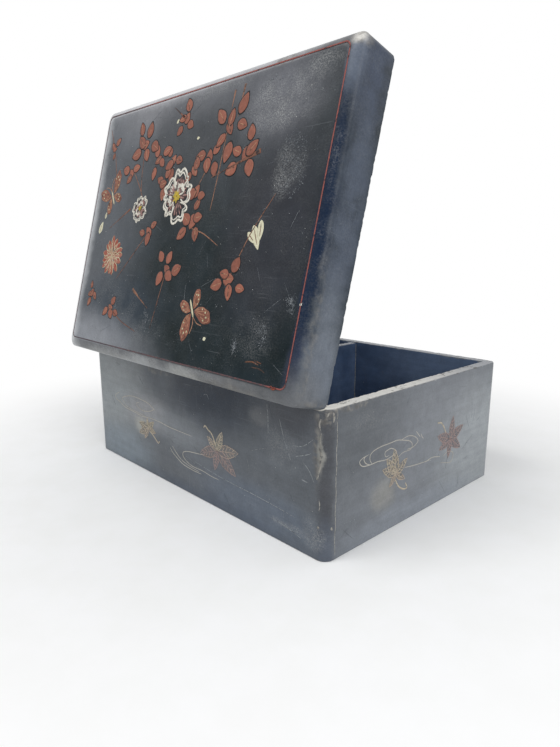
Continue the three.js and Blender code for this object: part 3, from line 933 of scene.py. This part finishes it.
left_out = np.clip((-60 - border[:, 0]) / 50, 0, 0.55)
low_out = np.where(border[:, 1] < BORDER_LOW + 1, 0.6, 0) * (border[:, 0] < 112)
border_tone = np.clip(0.1 + left_out + low_out, 0, 0.95)
lay("lid_border_line", [stroke(border, BORDER_WIDTH, taper=0)], ON_LID, vermilion, "lid",
    tones=[border_tone])

# %% [markdown]
# ## The lid's picture
#
# The lid carries a traditional flower-and-grass scatter in red oxide and shell white: tight
# clusters of round leaves, a blossom, a chrysanthemum, two butterflies, buds and thin straight
# stems. It is a design of this lesson's own in the colours and at the scale such lids have.

# %% Clusters of leaves
draw = np.random.default_rng(11)
GOLDEN_ANGLE = 137.5
PACKING = 0.58
DARK_EDGE = 1.16


def cluster(centre, count, length, start):
    """A tight clump: leaves on a sunflower's spiral, each over a wider dark leaf that parts them.

    Leaf n stands at n times the golden angle, at a distance that grows as the root of n.
    """
    sheets, tones, ribs = [], [], []
    for number in range(count):
        turn = start + GOLDEN_ANGLE * number
        size = length * draw.uniform(0.8, 1.12)
        middle = centre + placed(ray(PACKING * length * np.sqrt(number), 1, 1), (0, 0), turn)[0]
        turn += draw.uniform(-28, 28)
        foot = middle - placed(ray(size / 2, 1, 1), (0, 0), turn)[0]
        leaf = egg(size, size * draw.uniform(0.62, 0.8))
        around = (leaf - (size / 2, 0)) * DARK_EDGE + (size / 2, 0)
        sheets += [placed(around, foot, turn), placed(leaf, foot, turn)]
        tones += [1.0, draw.uniform(0, 0.25)]
        if draw.random() < 0.65:
            ribs.append(placed(stroke(ray(size * 0.92, 0.08), 0.6), foot, turn))
    return sheets, tones, ribs


CLUSTERS = [((-62, 62), 7, 11, 20), ((-40, 48), 5, 10, 200), ((-76, 42), 4, 9, 110),
            ((-12, 74), 5, 9, 40), ((38, 60), 7, 12, -50), ((58, 42), 6, 11, 250),
            ((22, 44), 5, 10, 120), ((16, 2), 6, 10, -110), ((-36, -4), 4, 9, 130),
            ((-4, -30), 6, 10, 170), ((64, -34), 6, 10, 10), ((-106, -52), 5, 7, 60),
            ((-72, -62), 5, 8, 150), ((-110, 64), 4, 7, 0), ((-20, 46), 5, 9, 80),
            ((8, 36), 3, 9, 300), ((-28, 30), 4, 9, 10), ((14, 22), 3, 9, 60)]
leaves, leaf_tones, ribs = gathered(cluster(*clump) for clump in CLUSTERS)
lay("lid_painted_leaves", leaves, ON_LID, red_oxide, "lid", tones=leaf_tones)
lay("lid_leaf_veins", ribs, ON_LID, ochre, "lid", film=LINE_FILM)
print("leaves:", len(leaves) // 2)


# %% Stems, and straight twigs that thicken to one end
def twig(foot, tip, width):
    """A strip from a foot to a tip whose width grows as the square of the way along."""
    way = np.subtract(tip, foot)
    along = np.linspace(0, 1, 14)
    half = width / 2 * (0.2 + 0.8 * along ** 2)
    return placed(strip(along * np.hypot(*way), half), foot, np.degrees(np.arctan2(*way[::-1])))


STEMS = [[(-122, 82), (-108, 60), (-96, 34)], [(-74, 44), (-60, 30), (-52, 20)],
         [(-62, 62), (-60, 40), (-56, 24)], [(24, 46), (20, 34), (14, 24)],
         [(36, 62), (35, 36), (33, 8)], [(-4, -28), (-8, -50), (-12, -72)],
         [(64, -34), (76, -8), (92, 16)], [(-34, -2), (-50, -18), (-72, -40)],
         [(14, -2), (30, -6), (48, -14)], [(-72, -62), (-54, -70), (-30, -76)]]
TWIGS = [((28, 30), (72, 42), 3.2), ((-30, 84), (-14, 74), 2.2), ((-96, 0), (-68, 14), 1.8),
         ((44, 66), (46, 86), 2.0), ((36, 66), (37, 84), 1.6), ((-20, -58), (-44, -46), 2.6)]
lay("lid_painted_stems", [stroke(curve(stem), 0.75, taper=0.3) for stem in STEMS]
    + [twig(*size) for size in TWIGS], ON_LID, ochre, "lid",
    tones=draw.uniform(0.3, 0.9, len(STEMS) + len(TWIGS)))


# %% Blossom
def petal(radius, ruffle, steps=12):
    """A round petal with a narrow foot: polar, its reach swelling to a ruffled lip."""
    spread = np.linspace(1, -1, 21)
    along = np.linspace(0.14, 1, steps)
    lip = 1 - 0.07 * np.cos(spread * 2.4 * np.pi + ruffle) - 0.03 * np.sin(spread * 11 + ruffle)
    reach = along[:, None] * radius * (lip - 0.16 * np.abs(spread) ** 3)
    swell = np.sin(np.pi * along * 0.62)[:, None]
    turn = spread * np.radians(37) * swell
    return np.stack([reach * np.cos(turn), reach * np.sin(turn)], axis=-1)


def petal_outline(radius, ruffle):
    """The lip and sides of a petal as one line."""
    grid = petal(radius, ruffle)
    return np.vstack([grid[3:, 0], grid[-1, 1:-1], grid[:3:-1, -1]])


def blossom(centre, radius, turn):
    """Two rounds of petals with thick white lips, pink streaks up each, and yellow threads."""
    fills, lips, streaks, threads = [], [], [], []
    for number in range(8):
        outer = number < 5
        way = turn + 72 * number + draw.uniform(-8, 8) + (0 if outer else 40)
        size = radius * draw.uniform(0.88, 1.12) * (1 if outer else 0.56)
        ruffle = draw.uniform(0, 6)
        fills.append(placed(petal(size * 0.72, ruffle), centre, way))
        outline = petal_outline(size, ruffle)
        lips.append(placed(stroke(outline, radius * 0.1, 0.3), centre, way))
        lips.append(placed(stroke(outline[6:-6] * 0.86, radius * 0.07, 0.8), centre, way))
        for lean in (-20, -8, 6, 18) if outer else (-10, 10):
            streak = stroke(ray(size * draw.uniform(0.6, 0.85), 0.35), radius * 0.07, 0.4)
            streaks.append(placed(streak, centre, way + lean))
    for number in range(15):
        thread = stroke(ray(radius * draw.uniform(0.14, 0.3), 0.1), radius * 0.07, 0.1)
        threads.append(placed(thread, centre, turn + 24 * number))
    return fills, lips, streaks, threads


BLOSSOMS = [((-8, 20), 17, 12), ((-54, 14), 9, 40)]
fills, lips, streaks, threads = gathered(blossom(*flower) for flower in BLOSSOMS)
lay("lid_blossom_petals", fills, ON_LID, blush, "lid", tones=draw.uniform(0.3, 1, len(fills)))
lay("lid_blossom_streaks", streaks, ON_LID, blush, "lid", film=LINE_FILM)
lay("lid_blossom_lips", lips, ON_LID, shell_white, "lid", film=LIP_FILM)
lay("lid_blossom_threads", threads, ON_LID, yellow, "lid", film=THREAD_FILM)

# %% Chrysanthemum
MUM = np.array([-84.0, -22.0])
rays, edges = [], []
for reach, count, length, width in ((5.5, 15, 10, 4.6), (3.4, 12, 8.5, 3.8), (1.6, 9, 6.5, 2.8),
                                    (0.0, 6, 4.5, 2.2)):
    for number in range(count):
        turn = 360 * number / count + reach * 9 + draw.uniform(-5, 5)
        size = length * draw.uniform(0.85, 1.12)
        foot = MUM + placed(ray(reach, 1, 1), (0, 0), turn)[0]
        rays.append(placed(blade(size, width, belly=1.3), foot, turn))
        edges.append(placed(stroke(blade(size, width, belly=1.3)[:, 0], 0.5), foot, turn))
inner_tone = np.linspace(0.95, 0.0, len(rays)) * draw.uniform(0.7, 1.1, len(rays))
lay("lid_chrysanthemum_petals", rays, ON_LID,
    paint("pale_red_chrysanthemum", "b08e7c", "8c4536", wear=0.15), "lid", tones=inner_tone)
lay("lid_chrysanthemum_edges", edges, ON_LID, cream, "lid", film=LINE_FILM,
    tones=draw.uniform(0.2, 1, len(edges)))


# %% Butterflies
def wing(reach, low, high, tip, leading, trailing):
    """A fan between two angles: from its tip the reach falls off either side as a bell does."""
    spread = np.linspace(high, low, 19)
    breadth = np.where(spread > tip, leading, trailing)
    margin = np.exp(-((spread - tip) / breadth) ** 2) * (1 - 0.03 * np.cos(np.radians(spread * 20)))
    turn = np.radians(spread)
    along = np.linspace(0.05, 1, 10)[:, None] * reach * margin
    return np.stack([along * np.cos(turn), along * np.sin(turn)], axis=-1)


def butterfly(centre, size, turn):
    """Four wings with veins, a pale margin and spots, a body and two feelers."""
    wings, marks, spots = [], [], []
    for sheet, foot in ((wing(size, -6, 66, 46, 26, 44), (size * 0.07, size * 0.02)),
                        (wing(size * 0.72, -78, -8, -52, 40, 30), (size * 0.07, -size * 0.04))):
        sheet = sheet + foot
        lines = [sheet[1:-1, column] for column in (4, 7, 10, 13, 16)] + [sheet[-2, 1:-1]]
        for flip in (False, True):
            wings.append(placed(mirrored(sheet) if flip else sheet, centre, turn))
            way = (-1, 1) if flip else (1, 1)
            marks += [placed(stroke(line * way, 0.55, 0.2), centre, turn) for line in lines]
            for column in (3, 6, 9, 12):
                spot = np.linspace(sheet[-3, column], sheet[-4, column], 4) * way
                spots.append(placed(stroke(spot, size * 0.06, 0.3), centre, turn))
    for way in (1, -1):
        feeler = curve([(0, size * 0.2), (way * size * 0.12, size * 0.48),
                        (way * size * 0.34, size * 0.68)])
        marks.append(placed(stroke(feeler, 0.6, 0.2), centre, turn))
    torso = np.stack([np.zeros(12), np.linspace(-0.46, 0.24, 12) * size], 1)
    spots.append(placed(stroke(torso, size * 0.09, 0.4), centre, turn))
    return wings, marks, spots


BUTTERFLIES = [((-100, 26), 19, 34), ((34, -56), 19, -150)]
wings, marks, spots = gathered(butterfly(*insect) for insect in BUTTERFLIES)
lay("lid_butterfly_wings", wings, ON_LID, red_oxide, "lid", tones=draw.uniform(0, 0.5, len(wings)))
lay("lid_butterfly_lines", marks, ON_LID, ochre, "lid", film=LINE_FILM)
lay("lid_butterfly_spots", spots, ON_LID, cream, "lid", film=LIP_FILM,
    tones=draw.uniform(0.3, 1, len(spots)))

# %% Buds
BUDS = [((-112, -4), 10, 5.4, 70), ((-106, 8), 5, 2.8, 80), ((78, -2), 16, 6, -62),
        ((84, 1), 12, 5, -84), ((74, -6), 10, 4, -40), ((-24, 72), 3.4, 2.2, 60),
        ((4, 58), 3, 2, 0), ((50, -72), 3, 2.4, 20)]
lay("lid_buds", [placed(egg(length, width), centre, turn) for centre, length, width, turn in BUDS],
    ON_LID, cream, "lid")
lay("lid_bud_veins", [placed(stroke(ray(length * 0.8, 0.2), 0.5, 0.3), centre, turn)
                      for centre, length, _, turn in BUDS[:5]],
    ON_LID, ochre, "lid", film=LINE_FILM, tones=[0.9] * 5)
print("lid picture:", len(rays) + len(wings) + len(BUDS), "sheets")

# %% [markdown]
# ## Maple leaves on water, in gold
#
# The body's faces carry the old pattern of maple leaves carried off by a stream. It is drawn in
# fine lines sprinkled with gold powder while the lacquer is wet, so the lines are soft, raised and
# broken where a century of hands has worn them. A leaf is six pointed lobes about one foot, each
# with an outline, a midrib and slanting side veins over a thin dusting of gold.

# %% Gold
gold = paint("worn_gold_powder", "b8af98", "9a8581", wear=0.38, roughness=0.42, under="666a6e",
             torn=2.0)
gold_mist = paint("gold_powder_mist", "85806f", "746a6b", wear=0.62, grain=0.9, under="666a6e",
                  torn=2.0)
water_line = paint("worn_gold_line", "b2afa6", "97918a", wear=0.22, under="707478", torn=5)


# %% A maple leaf
def lobe_lines(length):
    """Outline, midrib and side veins of one lobe along x."""
    along = np.linspace(0, 1, 40)
    half = 0.19 * length * np.sin(np.pi * along ** 0.8) * (1 + 0.22 * ((along * 9) % 1 - 0.5))
    lines = [np.stack([along * length, sign * half], 1) for sign in (1, -1)]
    lines.append(ray(length * 0.86, steps=20))
    for share in (0.25, 0.4, 0.55, 0.7):
        reach = 0.17 * length * np.sin(np.pi * share ** 0.8)
        for sign in (1, -1):
            t = np.linspace(0, 1, 5)
            lines.append(np.stack([(share + 0.15 * t) * length, sign * reach * t], 1))
    return lines


def maple(centre, tips, high_tone, low_tone, stem):
    """Strokes, their tones and the dusting of a leaf. Its upper lobes take the high tone."""
    strokes, tones, mist, mist_tones = [], [], [], []
    for tip in tips:
        way = np.subtract(tip, centre)
        length, turn = np.hypot(*way), np.degrees(np.arctan2(way[1], way[0]))
        tone = low_tone + (high_tone - low_tone) * (np.sin(np.radians(turn)) + 1) / 2
        for line in lobe_lines(length):
            strokes.append(placed(stroke(line, 0.5, 0.2), centre, turn))
            tones.append(tone)
        mist.append(placed(blade(length, length * 0.4, 0.75), centre, turn))
        mist_tones.append(tone)
    strokes.append(stroke(curve(stem), 1.1, 0.2))
    tones.append(0)
    return strokes, tones, mist, mist_tones


def leaves_on(prefix, place, leaves, water):
    """Maple leaves, their dusting and lines of water on one face of the body.

    A leaf is its foot, its lobes' tips, the tones of its high and low lobes, and its stem.
    """
    strokes, tones, mist, mist_tones = gathered(maple(*leaf) for leaf in leaves)
    lay(prefix + "_gold_mist", mist, place, gold_mist, "box_body", film=MIST_FILM,
        tones=mist_tones)
    lay(prefix + "_gold_leaves", strokes, place, gold, "box_body", tones=tones, film=LINE_FILM)
    lay(prefix + "_water", [stroke(curve(line, 70), 0.6, 0.2) for line in water], place,
        water_line, "box_body", tones=draw.uniform(0, 0.3, len(water)))
    print(prefix, "leaves:", len(leaves), "lines of water:", len(water))


# %% The hinge side's pattern
leaves_on(
    "hinge_side", ON_HINGE_SIDE,
    [((-54, 38), [(-43, 36), (-45, 45), (-55, 46), (-68, 40), (-68, 31), (-60, 28)], 0.0, 0.2,
      [(-52, 36), (-46, 33), (-40, 29), (-38, 31)]),
     ((36, 43), [(59, 47), (56, 30), (33, 28), (16, 36), (25, 51), (42, 58)], 0.0, 1.0,
      [(36, 44), (31, 53), (26, 56), (23, 58), (21, 56)])],
    [[(-97, 60), (-105, 56), (-105, 53), (-98, 51), (-89, 48), (-76, 47), (-63, 46), (-51, 47),
      (-36, 47), (-22, 46), (-9, 46), (7, 46)],
     [(-57, 47), (-72, 48), (-85, 49), (-91, 52), (-94, 55), (-87, 58), (-77, 60), (-65, 60),
      (-54, 59), (-47, 57), (-45, 55), (-53, 52), (-62, 51), (-69, 53), (-71, 55), (-66, 57)],
     [(-62, 60), (-53, 59), (-45, 56), (-43, 55)],
     [(-23, 30), (-20, 27), (-14, 24), (-6, 21), (5, 20), (17, 20)],
     [(33, 37), (16, 35), (8, 34), (1, 33), (-5, 31), (-6, 28), (-2, 25), (6, 23), (18, 23),
      (29, 22), (38, 22)],
     [(-20, 32), (-15, 28), (-8, 24), (2, 22), (14, 21)]])

# %% The right end's pattern
leaves_on(
    "right_end", ON_RIGHT_END,
    [((-31, 37), [(-34, 55), (-19, 45), (-21, 31), (-38, 30), (-46, 44), (-42, 50)], 0.1, 0.3,
      [(-32, 34), (-28, 28), (-22, 24), (-18, 24), (-20, 28)]),
     ((35, 45), [(37, 62), (52, 52), (50, 35), (33, 31), (20, 40), (17, 51)], 0.8, 1.0,
      [(28, 51), (25, 56), (21, 60), (16, 61)])],
    [[(-60, 58), (-67, 57), (-69, 55), (-66, 52), (-59, 51), (-51, 51), (-43, 50), (-35, 51),
      (-32, 53), (-37, 56), (-41, 56), (-44, 55), (-43, 52), (-39, 52)],
     [(-30, 48), (-24, 50), (-16, 50), (-14, 53), (-17, 56), (-23, 58), (-31, 60), (-39, 60),
      (-49, 60), (-56, 59), (-59, 57), (-59, 54), (-57, 51)],
     [(-63, 58), (-65, 56), (-63, 53), (-59, 51)],
     [(-20, 51), (-13, 51), (-8, 53), (-8, 55), (-12, 58), (-19, 60), (-28, 59)],
     [(-10, 61), (-7, 58), (-5, 56)], [(-4, 58), (-3, 56), (-1, 54)],
     [(-22, 39), (-15, 38), (-6, 37), (9, 36)], [(3, 36), (12, 37), (22, 35)],
     [(23, 30), (37, 27), (40, 33), (33, 36), (26, 34)]])

# %% The pattern on the two sides that turn away
leaves_on(
    "opening_side", ON_OPENING_SIDE,
    [((-48, 46), [(-30, 50), (-33, 36), (-48, 28), (-64, 36), (-64, 52), (-40, 62)], 0.1, 0.9,
      [(-48, 46), (-54, 56), (-58, 62)]),
     ((62, 36), [(76, 44), (78, 32), (64, 22), (50, 28), (48, 42), (62, 52)], 0.0, 0.3,
      [(62, 36), (54, 44), (46, 48)])],
    [[(4, 52), (18, 50), (38, 50), (56, 52), (70, 56), (66, 62), (50, 65), (32, 64), (20, 60),
      (26, 56), (42, 55), (52, 58), (44, 60)],
     [(8, 56), (14, 60), (26, 66), (46, 69), (66, 66)],
     [(-90, 30), (-60, 24), (-30, 26), (0, 34), (34, 42)],
     [(-84, 24), (-50, 19), (-14, 20), (10, 26)]])
leaves_on(
    "left_end", ON_LEFT_END,
    [((-30, 48), [(-14, 54), (-16, 40), (-30, 31), (-44, 38), (-45, 54), (-28, 65)], 0.1, 0.8,
      [(-30, 48), (-38, 58), (-42, 62)]),
     ((38, 34), [(52, 40), (52, 28), (38, 20), (25, 28), (26, 42), (40, 50)], 0.0, 0.3,
      [(38, 34), (46, 26), (52, 24)])],
    [[(-4, 48), (12, 45), (34, 46), (50, 50), (58, 56), (50, 62), (32, 63), (18, 60), (14, 56),
      (24, 53), (38, 54), (42, 57)],
     [(0, 52), (6, 58), (20, 65), (40, 67)],
     [(-66, 32), (-40, 25), (-8, 27), (16, 35)]])

# %% [markdown]
# ## Scratches, dust and opened joints
#
# Long scratches, hairlines and grains of dust are real things on the surface, so the ones that
# show are laid as strokes too. Wood moves and lacquer does not, so the coat also cracks along the
# joints: down the butt line of the end wall, and inside where the divider meets the long wall.

# %% Finishes of damage
pale_crack = paint("pale_crack", "a8a59e", "6c6a66", wear=0.42, roughness=0.7, under="4a4d50",
                   torn=2)
pale_scratch = paint("pale_scratch", "a2a6a8", "5c6167", wear=0.5, roughness=0.7, under="50555b",
                     torn=2)
white_grain = paint("grain_of_dust", "cfd0cc", "7d8185", wear=0.0, roughness=0.8)


# %% Cracks along the joints
def upright(at, low, high, sway=0.25):
    """A line that climbs a joint and sways a little."""
    z = np.linspace(low, high, 60)
    return np.stack([at + sway * np.sin(z * 0.35) + 0.6 * sway * np.sin(z * 1.1 + at), z], 1)


seam_low, seam_high = 3, RIM_Z / MM - 2
butt_line = (WALL - BODY.side) / MM
lay("right_end_joint_crack", [stroke(upright(butt_line, seam_low, seam_high), 0.45, 0.15)],
    ON_RIGHT_END, pale_crack, "box_body")
divider_edge = divider_high[0] / MM + 0.4
lay("divider_joint_crack", [stroke(upright(divider_edge, FLOOR_Z / MM, seam_high, 0.1), 0.6, 0.1)],
    ON_INNER_FACE, pale_crack, "box_body")

# %% Chips down the near corner
CHIPS = [([(1.8, 87), (0.6, 84), (1.6, 80)], 1.3), ([(2.2, 79), (1.2, 74), (2.4, 70)], 0.9),
         ([(1.2, 71), (2.2, 66), (1.4, 62)], 1.6), ([(2.0, 63), (1.6, 58), (0.4, 54)], 1.3),
         ([(0.8, 54), (-0.4, 51), (-1.2, 52)], 0.9), ([(8.8, 91), (9.4, 88), (9.0, 85)], 1.4),
         ([(6.4, 91), (5.2, 89), (4.4, 90)], 1.2), ([(1.2, 39), (1.8, 35), (1.3, 32)], 0.7),
         ([(0.4, 22), (1.4, 20.8)], 1.8), ([(9.0, 22), (9.6, 20)], 1.5)]
lay("near_corner_chips", [stroke(curve(line), width, 0.6) for line, width in CHIPS], round_corner,
    pale_crack, "box_body", tones=draw.uniform(0, 0.5, len(CHIPS)))


# %% Long scratches
SIDE_SCRATCHES = [([(8, 27.6), (40, 24.5), (80, 23), (112, 21)], 0.4),
                  ([(87, 88), (88, 78), (88, 68)], 0.45), ([(98, 80), (103, 66), (108, 56)], 0.4),
                  ([(110, 66), (118, 68), (126, 74)], 0.4),
                  ([(112, 60), (120, 63), (126, 66)], 0.5),
                  ([(117, 47), (122, 46.5)], 0.8), ([(118, 58), (123, 54), (127, 48)], 0.4),
                  ([(70, 52), (80, 56), (86, 58)], 0.25), ([(92, 13), (104, 12), (118, 9)], 0.5),
                  ([(22, 80), (26, 81), (28, 78)], 0.35), ([(-4, 29), (6, 27), (14, 22)], 0.3)]
lay("hinge_side_scratches", [stroke(curve(line, 40), width, 0.3) for line, width in SIDE_SCRATCHES],
    ON_HINGE_SIDE, pale_scratch, "box_body", tones=draw.uniform(0, 0.3, len(SIDE_SCRATCHES)))


# %% Rubbed loops on the lid
LOOPS = [[(88, 40), (96, 48), (106, 44), (108, 30), (100, 18), (92, 20)],
         [(90, 36), (98, 44), (104, 38), (104, 26), (98, 22)],
         [(92, 30), (100, 34), (110, 22), (104, 12)], [(62, 78), (74, 84), (92, 80), (104, 86)],
         [(99, -62), (103, -59), (104, -66), (101, -68)], [(79, -72), (81, -71), (80, -76)],
         [(117, -44), (120, -43), (121, -49)], [(-22, -62), (-18, -63), (-20, -69), (-23, -67)]]
rubbed_loops = np.vstack([curve(line, 110) for line in LOOPS])
rubbed_loops += draw.normal(0, 1.2, rubbed_loops.shape)
specks = [placed(stroke(ray(draw.uniform(0.2, 0.8), -1, 3), 0.22, 0.4), point,
                 draw.uniform(0, 180)) for point in rubbed_loops]
lay("lid_rubbed_loops", specks, ON_LID, pale_scratch, "lid",
    tones=draw.uniform(0, 1, len(specks)))
lay("lid_border_chips", [stroke(curve([(126.4, -44), (127.6, -45)]), 1.8, 0.5)], ON_LID,
    shell_white, "lid")
lay("lid_border_end", [stroke(curve([(121, -90), (118, -90.5), (116, -89.5)]), 1.8, 0.5)], ON_LID,
    paint("orange_red_lacquer", "8c4a39", "5a352b", wear=0.3), "lid")
RUST = [[(92, -80), (98, -79), (104, -80)], [(98, -82), (105, -82), (110, -83.5)],
        [(100, -78), (106, -79)]]
lay("lid_rust_streaks", [stroke(curve(line), 0.8, 0.4) for line in RUST], ON_LID,
    paint("rust_stain", "7c5038", "42332c", wear=0.5, under="2c2a2a", torn=1.6), "lid",
    tones=[0.1, 0.6, 0.3])


# %% Hairlines and dust
LARGEST_GRAIN = 0.5


def hairlines(count, low, high, seed):
    """Short straight scratches at random, each kept whole inside a rectangle."""
    chance = np.random.default_rng(seed)
    made = []
    for centre in chance.uniform(low, high, (count, 2)):
        reach = chance.uniform(1, 8)
        centre = np.clip(centre, np.add(low, reach), np.subtract(high, reach))
        made.append(placed(stroke(ray(reach, -1, 5), chance.uniform(0.08, 0.2), 0.3), centre,
                           chance.uniform(0, 180)))
    return made


def dust(count, low, high, seed):
    """Grains as tiny strokes, many small and a few large: a grain's size is a squared chance."""
    chance = np.random.default_rng(seed)
    made = []
    for centre in chance.uniform(low, high, (count, 2)):
        grain = LARGEST_GRAIN * chance.uniform(0.25, 1) ** 2
        made.append(placed(stroke(ray(grain * 0.7, -1, 3), grain, 0.5), centre,
                           chance.uniform(0, 180)))
    return made


for prefix, place, body, low, high, hairs, grains in (
        ("lid", ON_LID, "lid", (-122, -86), (124, 88), 60, 420),
        ("hinge_side", ON_HINGE_SIDE, "box_body", (-126, 4), (126, 88), 34, 90),
        ("right_end", ON_RIGHT_END, "box_body", (-86, 4), (86, 88), 22, 50),
        ("opening_side", ON_OPENING_SIDE, "box_body", (-126, 4), (126, 88), 30, 60),
        ("left_end", ON_LEFT_END, "box_body", (-86, 4), (86, 88), 20, 40),
        ("inner_face", ON_INNER_FACE, "box_body", (8, 30), (124, 90), 4, 34)):
    seed = len(prefix) + 40
    lay(prefix + "_hairlines", hairlines(hairs, low, high, seed), place, pale_scratch, body,
        tones=np.random.default_rng(seed).uniform(0.2, 1, hairs))
    lay(prefix + "_dust", dust(grains, low, high, seed + 1), place, white_grain, body,
        tones=np.random.default_rng(seed).uniform(0, 1, grains))
print("damage laid")

# %% [markdown]
# ## Stage, light and camera
#
# The floor is a pale sheet. Near the box it is plain paint that catches the shadow, and further
# out it fades to the white of the background, so no horizon shows. The world lights the object
# softly and is pure white to the camera and to reflections, as a studio tent is. One lamp from the
# right reads the end wall and reaches inside, and one above lets the lid shade the side below it.


# %% Floor
PLAIN_TO, WHITE_FROM = 0.17, 0.45
FLOOR_REACH = 6.0


def seen_by_camera(tree):
    """A mask of 1 for what the camera sees, straight, by a reflection or through something."""
    path = add(tree, "LightPath")
    return largest(tree, path.outputs["Is Camera Ray"],
                   largest(tree, path.outputs["Is Glossy Ray"],
                           path.outputs["Is Transmission Ray"]))


def studio_floor():
    """Pale paint near the object, white to the camera further out."""
    material, tree, shader = new_material("pale_studio_floor")
    where = add(tree, "TexCoord").outputs["Object"]
    far = add(tree, "VectorMath", {0: where}, operation="LENGTH").outputs["Value"]
    fade = add(tree, "MapRange", {"Value": far, "From Min": PLAIN_TO, "From Max": WHITE_FROM},
               interpolation_type="SMOOTHSTEP").outputs[0]
    tint = cloud(tree, where, 30, 0.3, 0.7)
    colour = blend_colours(tree, tint, linear("fbfbfb"), linear("f8f8f7"))
    plug_in(tree, shader, {"Base Color": colour, "Roughness": 0.8})
    glow = add(tree, "Emission", {"Color": (1, 1, 1, 1), "Strength": 1.0})
    mixed = add(tree, "MixShader", {0: times(tree, fade, seen_by_camera(tree)),
                                    1: shader.outputs[0], 2: glow.outputs[0]})
    plug_in(tree, tree.nodes["Material Output"], {"Surface": mixed.outputs[0]})
    return material


rings = np.concatenate([[0], np.geomspace(0.05, FLOOR_REACH, 24)])
angles = np.linspace(0, 2 * np.pi, 65)[:-1]
disc = np.stack([rings[:, None] * np.cos(angles), rings[:, None] * np.sin(angles),
                 np.zeros((len(rings), len(angles)))], axis=-1).reshape(-1, 3)
floor_mesh = bpy.data.meshes.new("studio_floor")
floor_mesh.from_pydata(disc.tolist(), [], grid_faces(len(rings), len(angles),
                                                     round_columns=True).tolist())
floor_mesh.materials.append(studio_floor())
studio = bpy.data.objects.new("studio_floor", floor_mesh)
bpy.context.scene.collection.objects.link(studio)

# %% World and lamps
ROOM_LIGHT = 0.5
world = bpy.data.worlds.new("white_tent")
bpy.context.scene.world = world
world.use_nodes = True
sky = world.node_tree
dim = add(sky, "Background", {"Color": (0.96, 0.98, 1.0, 1), "Strength": ROOM_LIGHT})
bright = add(sky, "Background", {"Color": (1, 1, 1, 1), "Strength": 1.0})
both = add(sky, "MixShader", {0: seen_by_camera(sky), 1: dim.outputs[0], 2: bright.outputs[0]})
plug_in(sky, sky.nodes["World Output"], {"Surface": both.outputs[0]})


def area_lamp(name, place, target, size, power):
    """A square soft lamp that faces a target."""
    lamp = bpy.data.lights.new(name, "AREA")
    lamp.size = size
    lamp.energy = power
    holder = bpy.data.objects.new(name, lamp)
    holder.location = place
    way = Vector(target) - Vector(place)
    holder.rotation_euler = way.to_track_quat("-Z", "Y").to_euler()
    bpy.context.scene.collection.objects.link(holder)


middle = (0, 0, RIM_Z)
area_lamp("key_from_the_right", (1.25, -0.45, 0.8), middle, 0.8, 10)
area_lamp("lamp_above", (-0.15, -0.75, 1.25), middle, 0.5, 6)

# %% Camera, solved from the photograph's vanishing lines
PHOTO_HEIGHT = 747
FOCAL_PIXELS = 570.1
SENSOR = 36
EYE = Vector((0.33364, -0.32217, 0.18081))
RIGHT = Vector((0.6901, 0.7237, 0.0002))
UP = Vector((-0.1593, 0.1516, 0.9755))
lens = bpy.data.cameras.new("camera")
lens.sensor_width = SENSOR
lens.lens = FOCAL_PIXELS / PHOTO_HEIGHT * SENSOR
lens.clip_start = 0.01
camera = bpy.data.objects.new("camera", lens)
back = RIGHT.cross(UP).normalized()
up = back.cross(RIGHT).normalized()
turned_axes = Matrix((RIGHT.normalized(), up, back)).transposed().to_4x4()
camera.matrix_world = Matrix.Translation(EYE) @ turned_axes
bpy.context.scene.collection.objects.link(camera)
bpy.context.scene.camera = camera
bpy.context.scene.view_settings.view_transform = "Standard"
